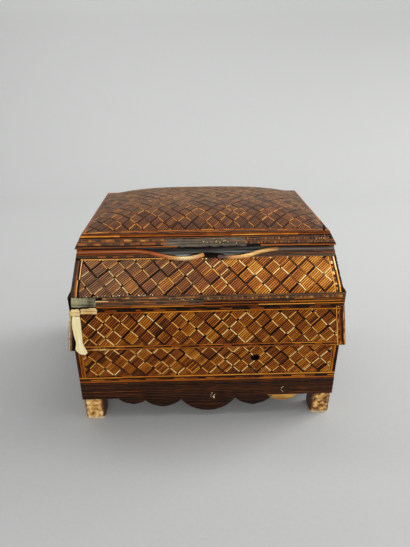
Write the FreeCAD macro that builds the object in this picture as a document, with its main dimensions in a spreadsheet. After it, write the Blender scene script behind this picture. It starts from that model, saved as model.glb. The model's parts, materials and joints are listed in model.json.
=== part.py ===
"""Straw marquetry keepsake box: slant-fronted case, skirt, drawer and cushion lid.

Millimetres. +X is to the right, +Y to the back and +Z up. The origin is the centre of
the footprint on the surface that the feet stand on, and the front faces -Y.
"""

import FreeCAD, Part
import os
import re
import Sketcher

doc = FreeCAD.newDocument("LidBox")
sheet = doc.addObject("Spreadsheet::Sheet", "Sizes")
nodes = []

# Driving sizes in millimetres, each under its own name in the sheet
sizes = {
    # Lower body
    "lower_width": 264,
    "case_depth": 194,
    "case_wall": 5,
    "foot_height": 27,
    "foot_side": 21,
    "foot_bevel": 1.2,
    "apron_height": 21,
    "apron_wall": 5,
    "base_thickness": 4,
    "bay_height": 43.8,
    "divider_thickness": 3.2,
    # Lobes that hang below the apron: place of the middle, width at the apron, drop
    "centre_lobe_width": 60,
    "centre_lobe_drop": 18.7,
    "second_lobe_place": 48,
    "second_lobe_width": 42,
    "second_lobe_drop": 11.7,
    "third_lobe_place": 79,
    "third_lobe_width": 32,
    "third_lobe_drop": 7.5,
    # Upper body and its slanted front
    "upper_inset": 5,
    "upper_wall": 5,
    "rim_height": 88.6,
    "slope_start": 60,
    "slope_run": 36,
    "slope_rise": 24,
    "slope_thickness": 3.5,
    "slope_length": 45.5,
    "notch_half_width": 72,
    "notch_low_place": 23,
    "notch_drop": 9.5,
    "notch_cusp_drop": 4,
    "bead_radius": 2.2,
    "bead_inset": 1.5,
    "bead_end_margin": 0.6,
    "bead_left_end": 3,
    "bead_right_end": 11,
    # Ledge, skirt and the lip inside the rim
    "ledge_height": 18,
    "ledge_face_height": 14,
    "ledge_reach": 3,
    "skirt_wall": 3,
    "skirt_lift": 0.3,
    "skirt_reach": 4.5,
    "skirt_side_reach": 4.5,
    "skirt_corner_gap": 0.2,
    "lip_wall": 2.5,
    "lip_start": 18,
    "lip_depth": 16,
    "lip_stand": 2.2,
    # Lid
    "lid_gap": 0.6,
    "lid_overhang": 0.5,
    "lid_front_set": 33,
    "lid_wall": 4,
    "band_rise": 12.3,
    "band_run": 6.5,
    "dome_height": 17,
    "dome_wall": 3.5,
    "dome_fullness": 0.85,
    # Hinges
    "hinge_place": 75,
    "hinge_width": 24,
    "hinge_leaf_height": 12,
    "lid_leaf_height": 10.4,
    "leaf_thickness": 0.8,
    "knuckle_radius": 1.9,
    "knuckle_gap": 0.3,
    "hinge_pin_radius": 1,
    "hinge_pin_clearance": 0.05,
    "nail_shank_radius": 0.5,
    "nail_head_radius": 1.3,
    "nail_head_height": 0.5,
    "nail_length": 3.2,
    "nail_spread": 8,
    "nail_drop": 6.5,
    # Drawer
    "drawer_front_thickness": 5,
    "drawer_front_gap": 0.3,
    "drawer_side_gap": 0.4,
    "drawer_board": 3.2,
    "drawer_side_height": 35.7,
    "drawer_back_gap": 2,
    "drawer_bottom_thickness": 2.5,
    "knob_hole_radius": 2.5,
    "knob_hole_place": 48,
    "knob_hole_height": 28,
}
for row, (name, millimetres) in enumerate(sizes.items(), 1):
    sheet.set(f"A{row}", name)
    sheet.set(f"B{row}", str(millimetres))
    sheet.setAlias(f"B{row}", name)
doc.recompute()


def formula(text):
    """Points every size name in a formula at its cell."""
    return re.sub("[a-z_]+", lambda word: "Sizes." + word[0] if word[0] in sizes else word[0], text)


def number(text):
    """The value of a formula, for a first shape of a sketch and for freely made surfaces."""
    found = sheet.evalExpression(formula(text))
    return float(getattr(found, "Value", found))


def bind(thing, **formulas):
    """Ties properties of an object to formulas; two underscores stand for a dot."""
    for name, text in formulas.items():
        thing.setExpression(name.replace("__", "."), formula(text))


def keep(thing, label):
    """Makes an object one of the box's own pieces."""
    thing.Label = label
    nodes.append(thing)
    return thing


# Levels and planes, from the floor up and from the drawer's face back
FRONT = "((skirt_reach - case_depth - 2 * knuckle_radius) / 2)"
BACK = f"({FRONT} + case_depth)"
LOWER = "(lower_width / 2)"
UPPER = f"({LOWER} - upper_inset)"
BASE = "(foot_height + apron_height)"
BAY = f"({BASE} + base_thickness)"
DIVIDER = f"({BASE} + bay_height)"
FLOOR = f"({DIVIDER} + divider_thickness)"
SLOPE = f"({FLOOR} + slope_start)"
RIM = f"({FLOOR} + rim_height)"
LEDGE = f"({SLOPE} - ledge_height)"
LID = f"({RIM} + lid_gap)"
BAND = f"({LID} + band_rise)"
AXIS_Y = f"({BACK} + knuckle_radius)"
AXIS_Z = f"({RIM} + lid_gap / 2)"
PITCH = "(slope_rise / slope_run)"
STRETCH = "(sqrt(slope_run ^ 2 + slope_rise ^ 2) / slope_run)"
UNDER_SLOPE = f"({SLOPE} - slope_thickness * {STRETCH})"


def box(name, x, y, z, length, width, height):
    """A square-cut board from its least corner and its three sides."""
    board = doc.addObject("Part::Box", name)
    bind(board, Length=length, Width=width, Height=height)
    bind(board, Placement__Base__x=x, Placement__Base__y=y, Placement__Base__z=z)
    return board


def cylinder(name, axis, x, y, z, radius, height):
    """A round bar from a point along +X, +Y or +Z."""
    bar = doc.addObject("Part::Cylinder", name)
    bar.Placement.Rotation = FreeCAD.Rotation(FreeCAD.Vector(0, 0, 1), axis)
    bind(bar, Radius=radius, Height=height)
    bind(bar, Placement__Base__x=x, Placement__Base__y=y, Placement__Base__z=z)
    return bar


def joined(name, pieces):
    """Pieces of one blank, united."""
    whole = doc.addObject("Part::MultiFuse", name)
    whole.Shapes = pieces
    return whole


def combined(kind, name, base, tool):
    """A Part::Cut or Part::Common of two shapes."""
    result = doc.addObject(kind, name)
    result.Base = base
    result.Tool = tool
    return result


def origin_plane(body, role):
    """One of a body's own three planes."""
    return next(plane for plane in body.Origin.OriginFeatures if plane.Role == role)


def outline(body, name, role, points, offset=None, arcs=None):
    """A closed sketch through points given as formulas.

    arcs gives, for the stretch that starts at a point, the radius of its arc and the side
    of the stretch to which it swells: 1 to the left of the way from point to point.
    """
    sketch = body.newObject("Sketcher::SketchObject", name)
    sketch.AttachmentSupport = [(origin_plane(body, role), "")]
    sketch.MapMode = "FlatFace"
    corners = [FreeCAD.Vector(number(x), number(y), 0) for x, y in points]
    starts = []
    for index, start in enumerate(corners):
        end = corners[(index + 1) % len(corners)]
        if arcs and index in arcs:
            radius, side = arcs[index]
            half = (end - start) / 2
            left = FreeCAD.Vector(-half.y, half.x, 0).normalize()
            swell = number(radius) - (number(radius) ** 2 - half.Length ** 2) ** 0.5
            middle = start + half + left * swell * side
            sketch.addGeometry(Part.ArcOfCircle(start, middle, end))
            begins = sketch.getPoint(index, 1).distanceToPoint(start) < 0.001
            starts.append(1 if begins else 2)
        else:
            sketch.addGeometry(Part.LineSegment(start, end))
            starts.append(1)
    for index, (x, y) in enumerate(points):
        following = (index + 1) % len(points)
        end = 3 - starts[index]
        sketch.addConstraint(Sketcher.Constraint("Coincident", index, end, following, starts[following]))
        for kind, text in (("DistanceX", x), ("DistanceY", y)):
            pin = Sketcher.Constraint(kind, -1, 1, index, starts[index], number(text))
            place = sketch.addConstraint(pin)
            sketch.setExpression(f"Constraints[{place}]", formula(text))
    for index, (radius, side) in (arcs or {}).items():
        place = sketch.addConstraint(Sketcher.Constraint("Radius", index, number(radius)))
        sketch.setExpression(f"Constraints[{place}]", formula(radius))
    if offset:
        sketch.setExpression("AttachmentOffset.Base.z", formula(offset))
    return sketch


def profile(name, role, points, length, start="0", arcs=None):
    """A board of an even section: the section runs from start along +X, +Y or +Z."""
    body = doc.addObject("PartDesign::Body", name)
    pad = body.newObject("PartDesign::Pad", name + "_pad")
    pad.Profile = outline(body, name + "_outline", role, points, arcs=arcs)
    pad.Reversed = role == "XZ_Plane"
    bind(pad, Length=length)
    axis = {"XY_Plane": "z", "XZ_Plane": "y", "YZ_Plane": "x"}[role]
    body.setExpression(f"Placement.Base.{axis}", formula(start))
    return body


def leaning(name, lower, lower_level, upper, upper_level):
    """A board whose outline changes evenly from a lower level to an upper one."""
    body = doc.addObject("PartDesign::Body", name)
    foot = outline(body, name + "_lower", "XY_Plane", lower, offset=lower_level)
    head = outline(body, name + "_upper", "XY_Plane", upper, offset=upper_level)
    loft = body.newObject("PartDesign::AdditiveLoft", name + "_loft")
    loft.Profile = foot
    loft.Sections = [head]
    loft.Ruled = True
    return body


def make_feet():
    """Four block feet, each with a post that stands inside the corner of the apron."""
    for depth_name, depth_side in (("front", -1), ("back", 1)):
        for width_name, width_side in (("left", -1), ("right", 1)):
            name = f"foot_{depth_name}_{width_name}"
            edge_y = FRONT if depth_side < 0 else BACK
            corners = ((0, 0), (1, 0), (1, 1), (0, 1))
            inset = "foot_side * {} + apron_wall * (1 - {})"
            block = [
                (f"{width_side} * ({LOWER} - foot_side * {a})", f"{edge_y} - {depth_side} * foot_side * {b}")
                for a, b in corners
            ]
            post = [
                (
                    f"{width_side} * ({LOWER} - ({inset.format(a, a)}))",
                    f"{edge_y} - {depth_side} * ({inset.format(b, b)})",
                )
                for a, b in corners
            ]
            body = doc.addObject("PartDesign::Body", name)
            base = body.newObject("PartDesign::Pad", name + "_block")
            base.Profile = outline(body, name + "_block_outline", "XY_Plane", block)
            bind(base, Length="foot_height")
            doc.recompute()
            bottom = [
                f"Edge{place + 1}"
                for place, edge in enumerate(base.Shape.Edges)
                if edge.BoundBox.ZMax < 0.01
            ]
            bevel = body.newObject("PartDesign::Chamfer", name + "_bevel")
            bevel.Base = (base, bottom)
            bind(bevel, Size="foot_bevel")
            top = body.newObject("PartDesign::Pad", name + "_post")
            top.Profile = outline(body, name + "_post_outline", "XY_Plane", post, offset="foot_height")
            bind(top, Length="apron_height")
            body.Tip = top
            keep(body, name)


def lobes(name, places, across):
    """Round lobes below an apron: discs whose lowest point and width are given sizes."""
    discs = []
    for number_of, (place, width, drop) in enumerate(places):
        radius = f"((({width}) ^ 2 / 4 + {drop} ^ 2) / (2 * {drop}))"
        level = f"foot_height - {drop} + {radius}"
        if across == "x":
            spot = (place, FRONT, level)
            axis = FreeCAD.Vector(0, 1, 0)
        else:
            spot = (f"-{LOWER}" if name.endswith("left") else f"{LOWER} - apron_wall", place, level)
            axis = FreeCAD.Vector(1, 0, 0)
        discs.append(cylinder(f"{name}_lobe_{number_of}", axis, *spot, radius, "apron_wall"))
    return joined(name + "_lobes", discs)


def make_apron():
    """Apron boards below the base: lobed at the front and sides, plain at the back."""
    second = [(sign + "second_lobe_place", "second_lobe_width", "second_lobe_drop") for sign in ("-", "")]
    third = [(sign + "third_lobe_place", "third_lobe_width", "third_lobe_drop") for sign in ("-", "")]
    centre = [("0", "centre_lobe_width", "centre_lobe_drop")]
    level = "foot_height"
    across = ("lower_width", "apron_wall", "apron_height")
    board = box("front_apron_board", f"-{LOWER}", FRONT, level, *across)
    limit = box("front_apron_limit", f"-{LOWER}", FRONT, "0", "lower_width", "apron_wall", BASE)
    row = lobes("front_apron", centre + second + third, "x")
    hanging = combined("Part::Common", "front_apron_hang", row, limit)
    keep(joined("front_apron", [board, hanging]), "apron_front")
    middle = f"(({FRONT} + {BACK}) / 2)"
    on_sides = [(f"{middle} + ({place})", width, drop) for place, width, drop in centre + second]
    for side, x in (("left", f"-{LOWER}"), ("right", f"{LOWER} - apron_wall")):
        name = "apron_" + side
        start = f"{FRONT} + apron_wall"
        run = "case_depth - 2 * apron_wall"
        board = box(name + "_board", x, start, level, "apron_wall", run, "apron_height")
        limit = box(name + "_limit", x, start, "0", "apron_wall", run, BASE)
        hanging = combined("Part::Common", name + "_hang", lobes(name, on_sides, "y"), limit)
        keep(joined(name + "_joined", [board, hanging]), name)
    back = box("back_apron", f"-{LOWER}", f"{BACK} - apron_wall", level, *across)
    keep(back, "apron_back")


def make_lower_body():
    """Base, sides and back round the drawer, and the divider that closes the bay above it."""
    start = f"{FRONT} + drawer_front_thickness + drawer_front_gap"
    run = "case_depth - drawer_front_thickness - drawer_front_gap"
    base = box("base", f"-{LOWER}", start, BASE, "lower_width", run, "base_thickness")
    keep(base, "base_board")
    wall_height = "bay_height - base_thickness"
    for side, x in (("left", f"-{LOWER}"), ("right", f"{LOWER} - case_wall")):
        wall = box("lower_" + side, x, start, BAY, "case_wall", f"{run} - case_wall", wall_height)
        keep(wall, "lower_side_" + side)
    back = box("lower_rear", f"-{LOWER}", f"{BACK} - case_wall", BAY, "lower_width", "case_wall", wall_height)
    keep(back, "lower_back")
    divider = box("divider", f"-{LOWER}", FRONT, DIVIDER, "lower_width", "case_depth", "divider_thickness")
    keep(divider, "divider_board")


def make_upper_body(nails):
    """Walls of the upper compartment: two sides cut to the slope, front and back."""
    end_y = f"({FRONT} + slope_length / {STRETCH})"
    end_z = f"({SLOPE} + slope_length * {PITCH} / {STRETCH})"
    section = [
        (FRONT, FLOOR),
        (f"{BACK} - upper_wall", FLOOR),
        (f"{BACK} - upper_wall", RIM),
        (end_y, RIM),
        (end_y, end_z),
        (f"{end_y} + slope_thickness * {PITCH} / {STRETCH}", f"{end_z} - slope_thickness / {STRETCH}"),
        (FRONT, UNDER_SLOPE),
    ]
    sides = []
    for side, x in (("left", f"-{UPPER}"), ("right", f"{UPPER} - upper_wall")):
        sides.append(profile("upper_" + side, "YZ_Plane", section, "upper_wall", start=x))
        keep(sides[-1], "upper_side_" + side)
    inside = f"2 * ({UPPER} - upper_wall)"
    front = box(
        "upper_front_wall",
        f"-{UPPER} + upper_wall",
        FRONT,
        FLOOR,
        inside,
        "upper_wall",
        f"{UNDER_SLOPE} - {FLOOR}",
    )
    keep(front, "upper_front")
    start = f"{BACK} - upper_wall"
    rear = box("upper_rear", f"-{UPPER}", start, FLOOR, f"2 * {UPPER}", "upper_wall", "rim_height")
    keep(combined("Part::Cut", "upper_rear_nailed", rear, nails), "upper_back")
    return sides


def notch_points(inset):
    """Brace-shaped top edge on the slope, right to left, each point as (across, along the slope)."""
    top = f"(slope_length - {inset})"
    low = f"({top} - notch_drop)"
    cusp = f"({top} - notch_cusp_drop)"
    turn = "((notch_half_width + notch_low_place) / 2)"
    middle = f"({top} - notch_drop / 2)"
    right = [("notch_half_width", top), (turn, middle), ("notch_low_place", low)]
    left = [(f"-{x}", y) for x, y in reversed(right)]
    return right + [("0", cusp)] + left


# Radius of each of the two even arcs that make the outer curve, and of the arc up to the cusp
SWEEP = "((notch_half_width - notch_low_place) ^ 2 + notch_drop ^ 2) / (4 * notch_drop)"
RISE = "(notch_drop - notch_cusp_drop)"
CUSP = f"(notch_low_place ^ 2 + {RISE} ^ 2) / (2 * {RISE})"


def lay_on_slope(thing, depth):
    """Turns an object from the flat to the slope, its lower face depth below the outer face."""
    across = FreeCAD.Vector(1, 0, 0)
    thing.Placement = FreeCAD.Placement(FreeCAD.Vector(), FreeCAD.Rotation(across, 30))
    rise = f"({depth}) * slope_rise / ({STRETCH} * slope_run)"
    fall = f"({depth}) / {STRETCH}"
    thing.setExpression("Placement.Rotation.Angle", formula(f"atan({PITCH})"))
    thing.setExpression("Placement.Base.y", formula(f"{FRONT} + {rise}"))
    thing.setExpression("Placement.Base.z", formula(f"{SLOPE} - {fall}"))


def make_slope(sides):
    """Slanting panel with the brace-shaped edge, and the bead glued along that edge."""
    edge = notch_points("0")
    foot = [(f"-{UPPER}", "0"), (UPPER, "0"), (UPPER, "slope_length")]
    points = foot + edge + [(f"-{UPPER}", "slope_length")]
    arcs = {3: (SWEEP, 1), 4: (SWEEP, -1), 5: (CUSP, -1), 6: (CUSP, -1), 7: (SWEEP, -1), 8: (SWEEP, 1)}
    body = doc.addObject("PartDesign::Body", "slope")
    pad = body.newObject("PartDesign::Pad", "slope_pad")
    pad.Profile = outline(body, "slope_outline", "XY_Plane", points, arcs=arcs)
    bind(pad, Length="slope_thickness")
    lay_on_slope(body, "slope_thickness")
    keep(body, "slope_panel")
    doc.recompute()
    for side, sign, end in (("left", -1, "bead_left_end"), ("right", 1, "bead_right_end")):
        shape = bead(sign, number(end)).cut([body.Shape] + [wall.Shape for wall in sides])
        strip = doc.addObject("Part::Feature", "bead_" + side)
        strip.Shape = shape
        keep(strip, "slope_bead_" + side)


def bead(sign, end):
    """A round strip along one half of the brace-shaped edge, from the side to near the cusp.

    Its centre runs on the slope's outer face: a straight run, two even arcs down to the low
    point, and part of the arc that climbs to the cusp.
    """
    top = number("slope_length - bead_inset")
    drop = number("notch_drop")
    wide = number("notch_half_width")
    low = number("notch_low_place")
    sweep = number(SWEEP)
    climb = number(CUSP)
    outer = number(f"{UPPER} - bead_end_margin")
    quarter = (wide - low) / 4
    fall = sweep - (sweep ** 2 - quarter ** 2) ** 0.5
    half = ((wide + low) / 2, top - drop / 2)
    last = top - drop + climb - (climb ** 2 - (low - end) ** 2) ** 0.5
    between = (low + end) / 2
    rest = top - drop + climb - (climb ** 2 - (low - between) ** 2) ** 0.5
    pitch = number(f"atan({PITCH})")
    place = FreeCAD.Placement(
        FreeCAD.Vector(0, number(FRONT), number(SLOPE)), FreeCAD.Rotation(FreeCAD.Vector(1, 0, 0), pitch)
    )

    def spot(x, y):
        return place.multVec(FreeCAD.Vector(sign * x, y, 0))

    path = Part.Wire([
        Part.LineSegment(spot(outer, top), spot(wide, top)).toShape(),
        Part.Arc(spot(wide, top), spot(wide - quarter, top - fall), spot(*half)).toShape(),
        Part.Arc(spot(*half), spot(low + quarter, top - drop + fall), spot(low, top - drop)).toShape(),
        Part.Arc(spot(low, top - drop), spot(between, rest), spot(end, last)).toShape(),
    ])
    ring = Part.Circle(spot(outer, top), FreeCAD.Vector(1, 0, 0), number("bead_radius")).toShape()
    return path.makePipeShell([Part.Wire([ring])], True, False)


def make_ledge():
    """Moulding at the foot of the slope, round the front and the two sides."""
    front = [
        (FRONT, LEDGE),
        (f"{FRONT} - ledge_reach", LEDGE),
        (f"{FRONT} - ledge_reach", f"{LEDGE} + ledge_face_height"),
        (FRONT, SLOPE),
    ]
    length = f"2 * ({UPPER} + ledge_reach)"
    start = f"-{UPPER} - ledge_reach"
    keep(profile("front_ledge", "YZ_Plane", front, length, start=start), "ledge_front")
    for side, sign in (("left", "-1"), ("right", "1")):
        section = [
            (f"{sign} * {UPPER}", LEDGE),
            (f"{sign} * ({UPPER} + ledge_reach)", LEDGE),
            (f"{sign} * ({UPPER} + ledge_reach)", f"{LEDGE} + ledge_face_height"),
            (f"{sign} * {UPPER}", SLOPE),
        ]
        keep(profile(side + "_ledge", "XZ_Plane", section, "case_depth", start=FRONT), "ledge_" + side)


def make_skirt():
    """Thin boards that hang from the ledge and lean out over the wider lower body."""
    low = f"{DIVIDER} + skirt_lift"
    below = f"({LOWER} + skirt_side_reach)"
    above = f"({UPPER} + ledge_reach)"

    def rectangle(x_start, x_end, y_start, y_end):
        return [(x_start, y_start), (x_end, y_start), (x_end, y_end), (x_start, y_end)]

    narrow = "- skirt_wall - skirt_corner_gap"
    front_low = f"{FRONT} - skirt_reach"
    front_high = f"{FRONT} - ledge_reach"
    lower = rectangle(f"-({below} {narrow})", f"{below} {narrow}", front_low, f"{front_low} + skirt_wall")
    upper = rectangle(f"-({above} {narrow})", f"{above} {narrow}", front_high, f"{front_high} + skirt_wall")
    keep(leaning("front_skirt", lower, low, upper, LEDGE), "skirt_front")
    for side, sign in (("left", "-1"), ("right", "1")):
        lower = rectangle(f"{sign} * {below}", f"{sign} * ({below} - skirt_wall)", front_low, BACK)
        upper = rectangle(f"{sign} * {above}", f"{sign} * ({above} - skirt_wall)", front_high, BACK)
        keep(leaning(side + "_skirt", lower, low, upper, LEDGE), "skirt_" + side)


def make_lip():
    """Thin boards inside the rim: the front one shows in the notch, all stand up into the lid."""
    inside = f"({UPPER} - upper_wall)"
    first = f"({FRONT} + lip_start)"
    last = f"({FRONT} + ({RIM} + lip_stand - {UNDER_SLOPE}) / {PITCH})"
    drop = f"(lip_wall * {STRETCH})"

    def under(y):
        return f"({UNDER_SLOPE} + ({y} - {FRONT}) * {PITCH})"

    section = [
        (first, f"{under(first)} - {drop}"),
        (last, f"{under(last)} - {drop}"),
        (last, under(last)),
        (first, under(first)),
    ]
    keep(profile("front_lip", "YZ_Plane", section, f"2 * {inside}", start=f"-{inside}"), "lip_front")
    level = f"{RIM} - lip_depth"
    height = "lip_depth + lip_stand"
    reach = f"{BACK} - upper_wall - {last}"
    for side, x in (("left", f"-{inside}"), ("right", f"{inside} - lip_wall")):
        keep(box("lip_strip_" + side, x, last, level, "lip_wall", reach, height), "lip_" + side)
    back = box(
        "lip_strip_back",
        f"-{inside} + lip_wall",
        f"{BACK} - upper_wall - lip_wall",
        level,
        f"2 * ({inside} - lip_wall)",
        "lip_wall",
        height,
    )
    keep(back, "lip_back")


def make_lid(nails):
    """Mitred band of leaning boards and the hollow cushion-shaped panel on top of it."""
    half = f"({UPPER} + lid_overhang)"
    near = f"({FRONT} + lid_front_set)"

    def front(shift):
        wide = f"({half} - {shift})"
        start = f"({near} + {shift})"
        return [
            (f"-{wide}", start),
            (wide, start),
            (f"{wide} - lid_wall", f"{start} + lid_wall"),
            (f"-({wide} - lid_wall)", f"{start} + lid_wall"),
        ]

    def side(sign, shift):
        wide = f"({half} - {shift})"
        start = f"({near} + {shift})"
        return [
            (f"{sign} * {wide}", start),
            (f"{sign} * ({wide} - lid_wall)", f"{start} + lid_wall"),
            (f"{sign} * ({wide} - lid_wall)", f"{BACK} - lid_wall"),
            (f"{sign} * {wide}", f"{BACK} - lid_wall"),
        ]

    def rear(shift):
        wide = f"({half} - {shift})"
        inner = f"{BACK} - lid_wall"
        return [(f"-{wide}", inner), (wide, inner), (wide, BACK), (f"-{wide}", BACK)]

    keep(leaning("front_band", front("0"), LID, front("band_run"), BAND), "lid_front")
    for name, sign in (("left", "-1"), ("right", "1")):
        keep(leaning(name + "_band", side(sign, "0"), LID, side(sign, "band_run"), BAND), "lid_" + name)
    blank = leaning("rear_band", rear("0"), LID, rear("band_run"), BAND)
    keep(combined("Part::Cut", "rear_band_nailed", blank, nails), "lid_back")

    wide = number(f"{half} - band_run")
    start = number(f"{near} + band_run")
    finish = number(BACK)
    wall = number("lid_wall")
    level = number(BAND)
    outer, outer_foot = cushion(-wide, wide, start, finish, level, number("dome_height"))
    inner_height = number("dome_height - dome_wall")
    inner, inner_foot = cushion(wall - wide, wide - wall, start + wall, finish - wall, level, inner_height)
    full = Part.Solid(Part.Shell([outer, Part.Face(outer_foot)]))
    hollow = Part.Solid(Part.Shell([inner, Part.Face(inner_foot)]))
    for solid in (full, hollow):
        if solid.Volume < 0:
            solid.reverse()
    dome = doc.addObject("Part::Feature", "dome")
    dome.Shape = full.cut(hollow)
    keep(dome, "lid_dome")


def cushion(x_start, x_end, y_start, y_end, level, height):
    """A cushion-shaped face over a rectangle, and the wire of its flat foot.

    Its height is the full height times f(across) times f(along), where f(t) is
    (1 - t^2) (1 + c t^2) from -1 to 1 and c is the fullness. Both factors have degree 4,
    so one patch with 5 by 5 poles holds the surface exactly.
    """
    full = number("dome_fullness")
    weights = [0, 1 + full, 4 * (1 - full) / 3, 1 + full, 0]
    steps = range(len(weights))
    last = len(weights) - 1
    poles = [
        [
            FreeCAD.Vector(
                x_start + (x_end - x_start) * across / last,
                y_start + (y_end - y_start) * along / last,
                level + height * weights[across] * weights[along],
            )
            for along in steps
        ]
        for across in steps
    ]
    surface = Part.BezierSurface()
    surface.increase(last, last)
    for across in steps:
        for along in steps:
            surface.setPole(across + 1, along + 1, poles[across][along])
    face = surface.toShape()
    return face, Part.Wire(Part.__sortEdges__(face.Edges))


def make_nails(name, level):
    """Small round-headed nails through one pair of hinge leaves, as one group."""
    pins = []
    for hinge in (-1, 1):
        for place in (-1, 0, 1):
            x = f"{hinge} * hinge_place + {place} * nail_spread"
            stem = f"{name}_{hinge + 1}_{place + 1}"
            depth = "nail_length"
            start = f"{BACK} - nail_length + leaf_thickness"
            along = FreeCAD.Vector(0, 1, 0)
            shank = cylinder(stem + "_shank", along, x, start, level, "nail_shank_radius", depth)
            seat = f"{BACK} + leaf_thickness"
            head = cylinder(stem + "_head", along, x, seat, level, "nail_head_radius", "nail_head_height")
            pins.append(joined(stem + "_nail", [shank, head]))
    group = doc.addObject("Part::Compound", name)
    group.Links = pins
    return keep(group, name)


def make_hinges(case_nails, lid_nails):
    """Two butt hinges on the back: a leaf on the case, a leaf on the lid and the pin."""
    along = FreeCAD.Vector(1, 0, 0)
    third = "(hinge_width / 3)"
    clear = "(knuckle_radius + knuckle_gap)"
    for side, sign in (("left", "-1"), ("right", "1")):
        start = f"{sign} * hinge_place - hinge_width / 2"
        for part, nails, rows in (("case", case_nails, (0, 2)), ("lid", lid_nails, (1,))):
            name = f"{part}_leaf_{side}"
            if part == "case":
                level = f"{AXIS_Z} - hinge_leaf_height"
                height = f"hinge_leaf_height - {clear}"
                tab_level = f"{AXIS_Z} - {clear}"
                hole = "hinge_pin_radius"
                trim = "0"
            else:
                level = f"{AXIS_Z} + {clear}"
                height = f"lid_leaf_height - {clear}"
                tab_level = AXIS_Z
                hole = "hinge_pin_radius + hinge_pin_clearance"
                trim = "knuckle_gap"
            pieces = [box(name + "_plate", start, BACK, level, "hinge_width", "leaf_thickness", height)]
            for row in rows:
                x = f"{start} + {row} * {third} + {trim}"
                wide = f"{third} - 2 * {trim}"
                pieces.append(box(f"{name}_tab_{row}", x, BACK, tab_level, wide, "leaf_thickness", clear))
                knuckle = f"{name}_knuckle_{row}"
                pieces.append(cylinder(knuckle, along, x, AXIS_Y, AXIS_Z, "knuckle_radius", wide))
            blank = joined(name + "_blank", pieces)
            bore = cylinder(name + "_bore", along, start, AXIS_Y, AXIS_Z, hole, "hinge_width")
            bored = combined("Part::Cut", name + "_bored", blank, bore)
            keep(combined("Part::Cut", name, bored, nails), f"hinge_{part}_leaf_{side}")
        pin = cylinder("pin_" + side, along, start, AXIS_Y, AXIS_Z, "hinge_pin_radius", "hinge_width")
        keep(pin, "hinge_pin_" + side)


def make_drawer():
    """Drawer: a front as wide as the body, with the hole of its lost knob, and a thin box."""
    level = f"({BASE} + drawer_front_gap)"
    top = f"({DIVIDER} - drawer_front_gap)"
    face = [(f"-{LOWER}", level), (LOWER, level), (LOWER, top), (f"-{LOWER}", top)]
    body = profile("drawer_face", "XZ_Plane", face, "drawer_front_thickness", start=FRONT)
    doc.recompute()
    hole = body.newObject("Sketcher::SketchObject", "knob_hole_outline")
    hole.AttachmentSupport = [(origin_plane(body, "XZ_Plane"), "")]
    hole.MapMode = "FlatFace"
    x = number("knob_hole_place")
    z = number(f"{BASE} + knob_hole_height")
    normal = FreeCAD.Vector(0, 0, 1)
    hole.addGeometry(Part.Circle(FreeCAD.Vector(x, z, 0), normal, number("knob_hole_radius")))
    for kind, text in (("DistanceX", "knob_hole_place"), ("DistanceY", f"{BASE} + knob_hole_height")):
        place = hole.addConstraint(Sketcher.Constraint(kind, -1, 1, 0, 3, number(text)))
        hole.setExpression(f"Constraints[{place}]", formula(text))
    place = hole.addConstraint(Sketcher.Constraint("Radius", 0, number("knob_hole_radius")))
    hole.setExpression(f"Constraints[{place}]", formula("knob_hole_radius"))
    pocket = body.newObject("PartDesign::Pocket", "knob_hole")
    pocket.Profile = hole
    pocket.Type = "ThroughAll"
    pocket.Midplane = True
    body.Tip = pocket
    keep(body, "drawer_front")

    half = f"({LOWER} - case_wall - drawer_side_gap)"
    start = f"({FRONT} + drawer_front_thickness)"
    run = "(case_depth - drawer_front_thickness - case_wall - drawer_back_gap)"
    floor = f"({BAY} + drawer_front_gap)"
    for side, x in (("left", f"-{half}"), ("right", f"{half} - drawer_board")):
        wall = box("drawer_wall_" + side, x, start, floor, "drawer_board", run, "drawer_side_height")
        keep(wall, "drawer_side_" + side)
    inner = f"({half} - drawer_board)"
    bottom = box("drawer_floor", f"-{inner}", start, floor, f"2 * {inner}", run, "drawer_bottom_thickness")
    keep(bottom, "drawer_bottom")
    back = box(
        "drawer_rear",
        f"-{inner}",
        f"{start} + {run} - drawer_board",
        f"{floor} + drawer_bottom_thickness",
        f"2 * {inner}",
        "drawer_board",
        "drawer_side_height - drawer_bottom_thickness",
    )
    keep(back, "drawer_back")


make_feet()
make_apron()
make_lower_body()
case_nails = make_nails("hinge_nails_case", f"{AXIS_Z} - nail_drop - knuckle_radius / 2")
lid_nails = make_nails("hinge_nails_lid", f"{AXIS_Z} + nail_drop")
upper_sides = make_upper_body(case_nails)
make_slope(upper_sides)
make_ledge()
make_skirt()
make_lip()
make_lid(lid_nails)
make_hinges(case_nails, lid_nails)
make_drawer()
doc.recompute()

for thing in doc.Objects:
    if "Invalid" in thing.State or "Error" in thing.State:
        raise RuntimeError(f"{thing.Name} failed: {thing.State}")

os.makedirs("parts", exist_ok=True)
for piece in nodes:
    if piece.Shape.isNull() or not piece.Shape.isValid():
        raise RuntimeError(f"{piece.Label} has no sound shape")
    piece.Shape.exportStep(f"parts/{piece.Label}.step")
print(len(nodes), "nodes written")
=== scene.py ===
"""Straw marquetry keepsake box, dressed over its boards.

Laid out as an add-on: each operator makes one group of pieces, and the panel lists them.
Lengths in the settings and in the making are millimetres; the meshes are in metres.
"""

import json
import math

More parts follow.
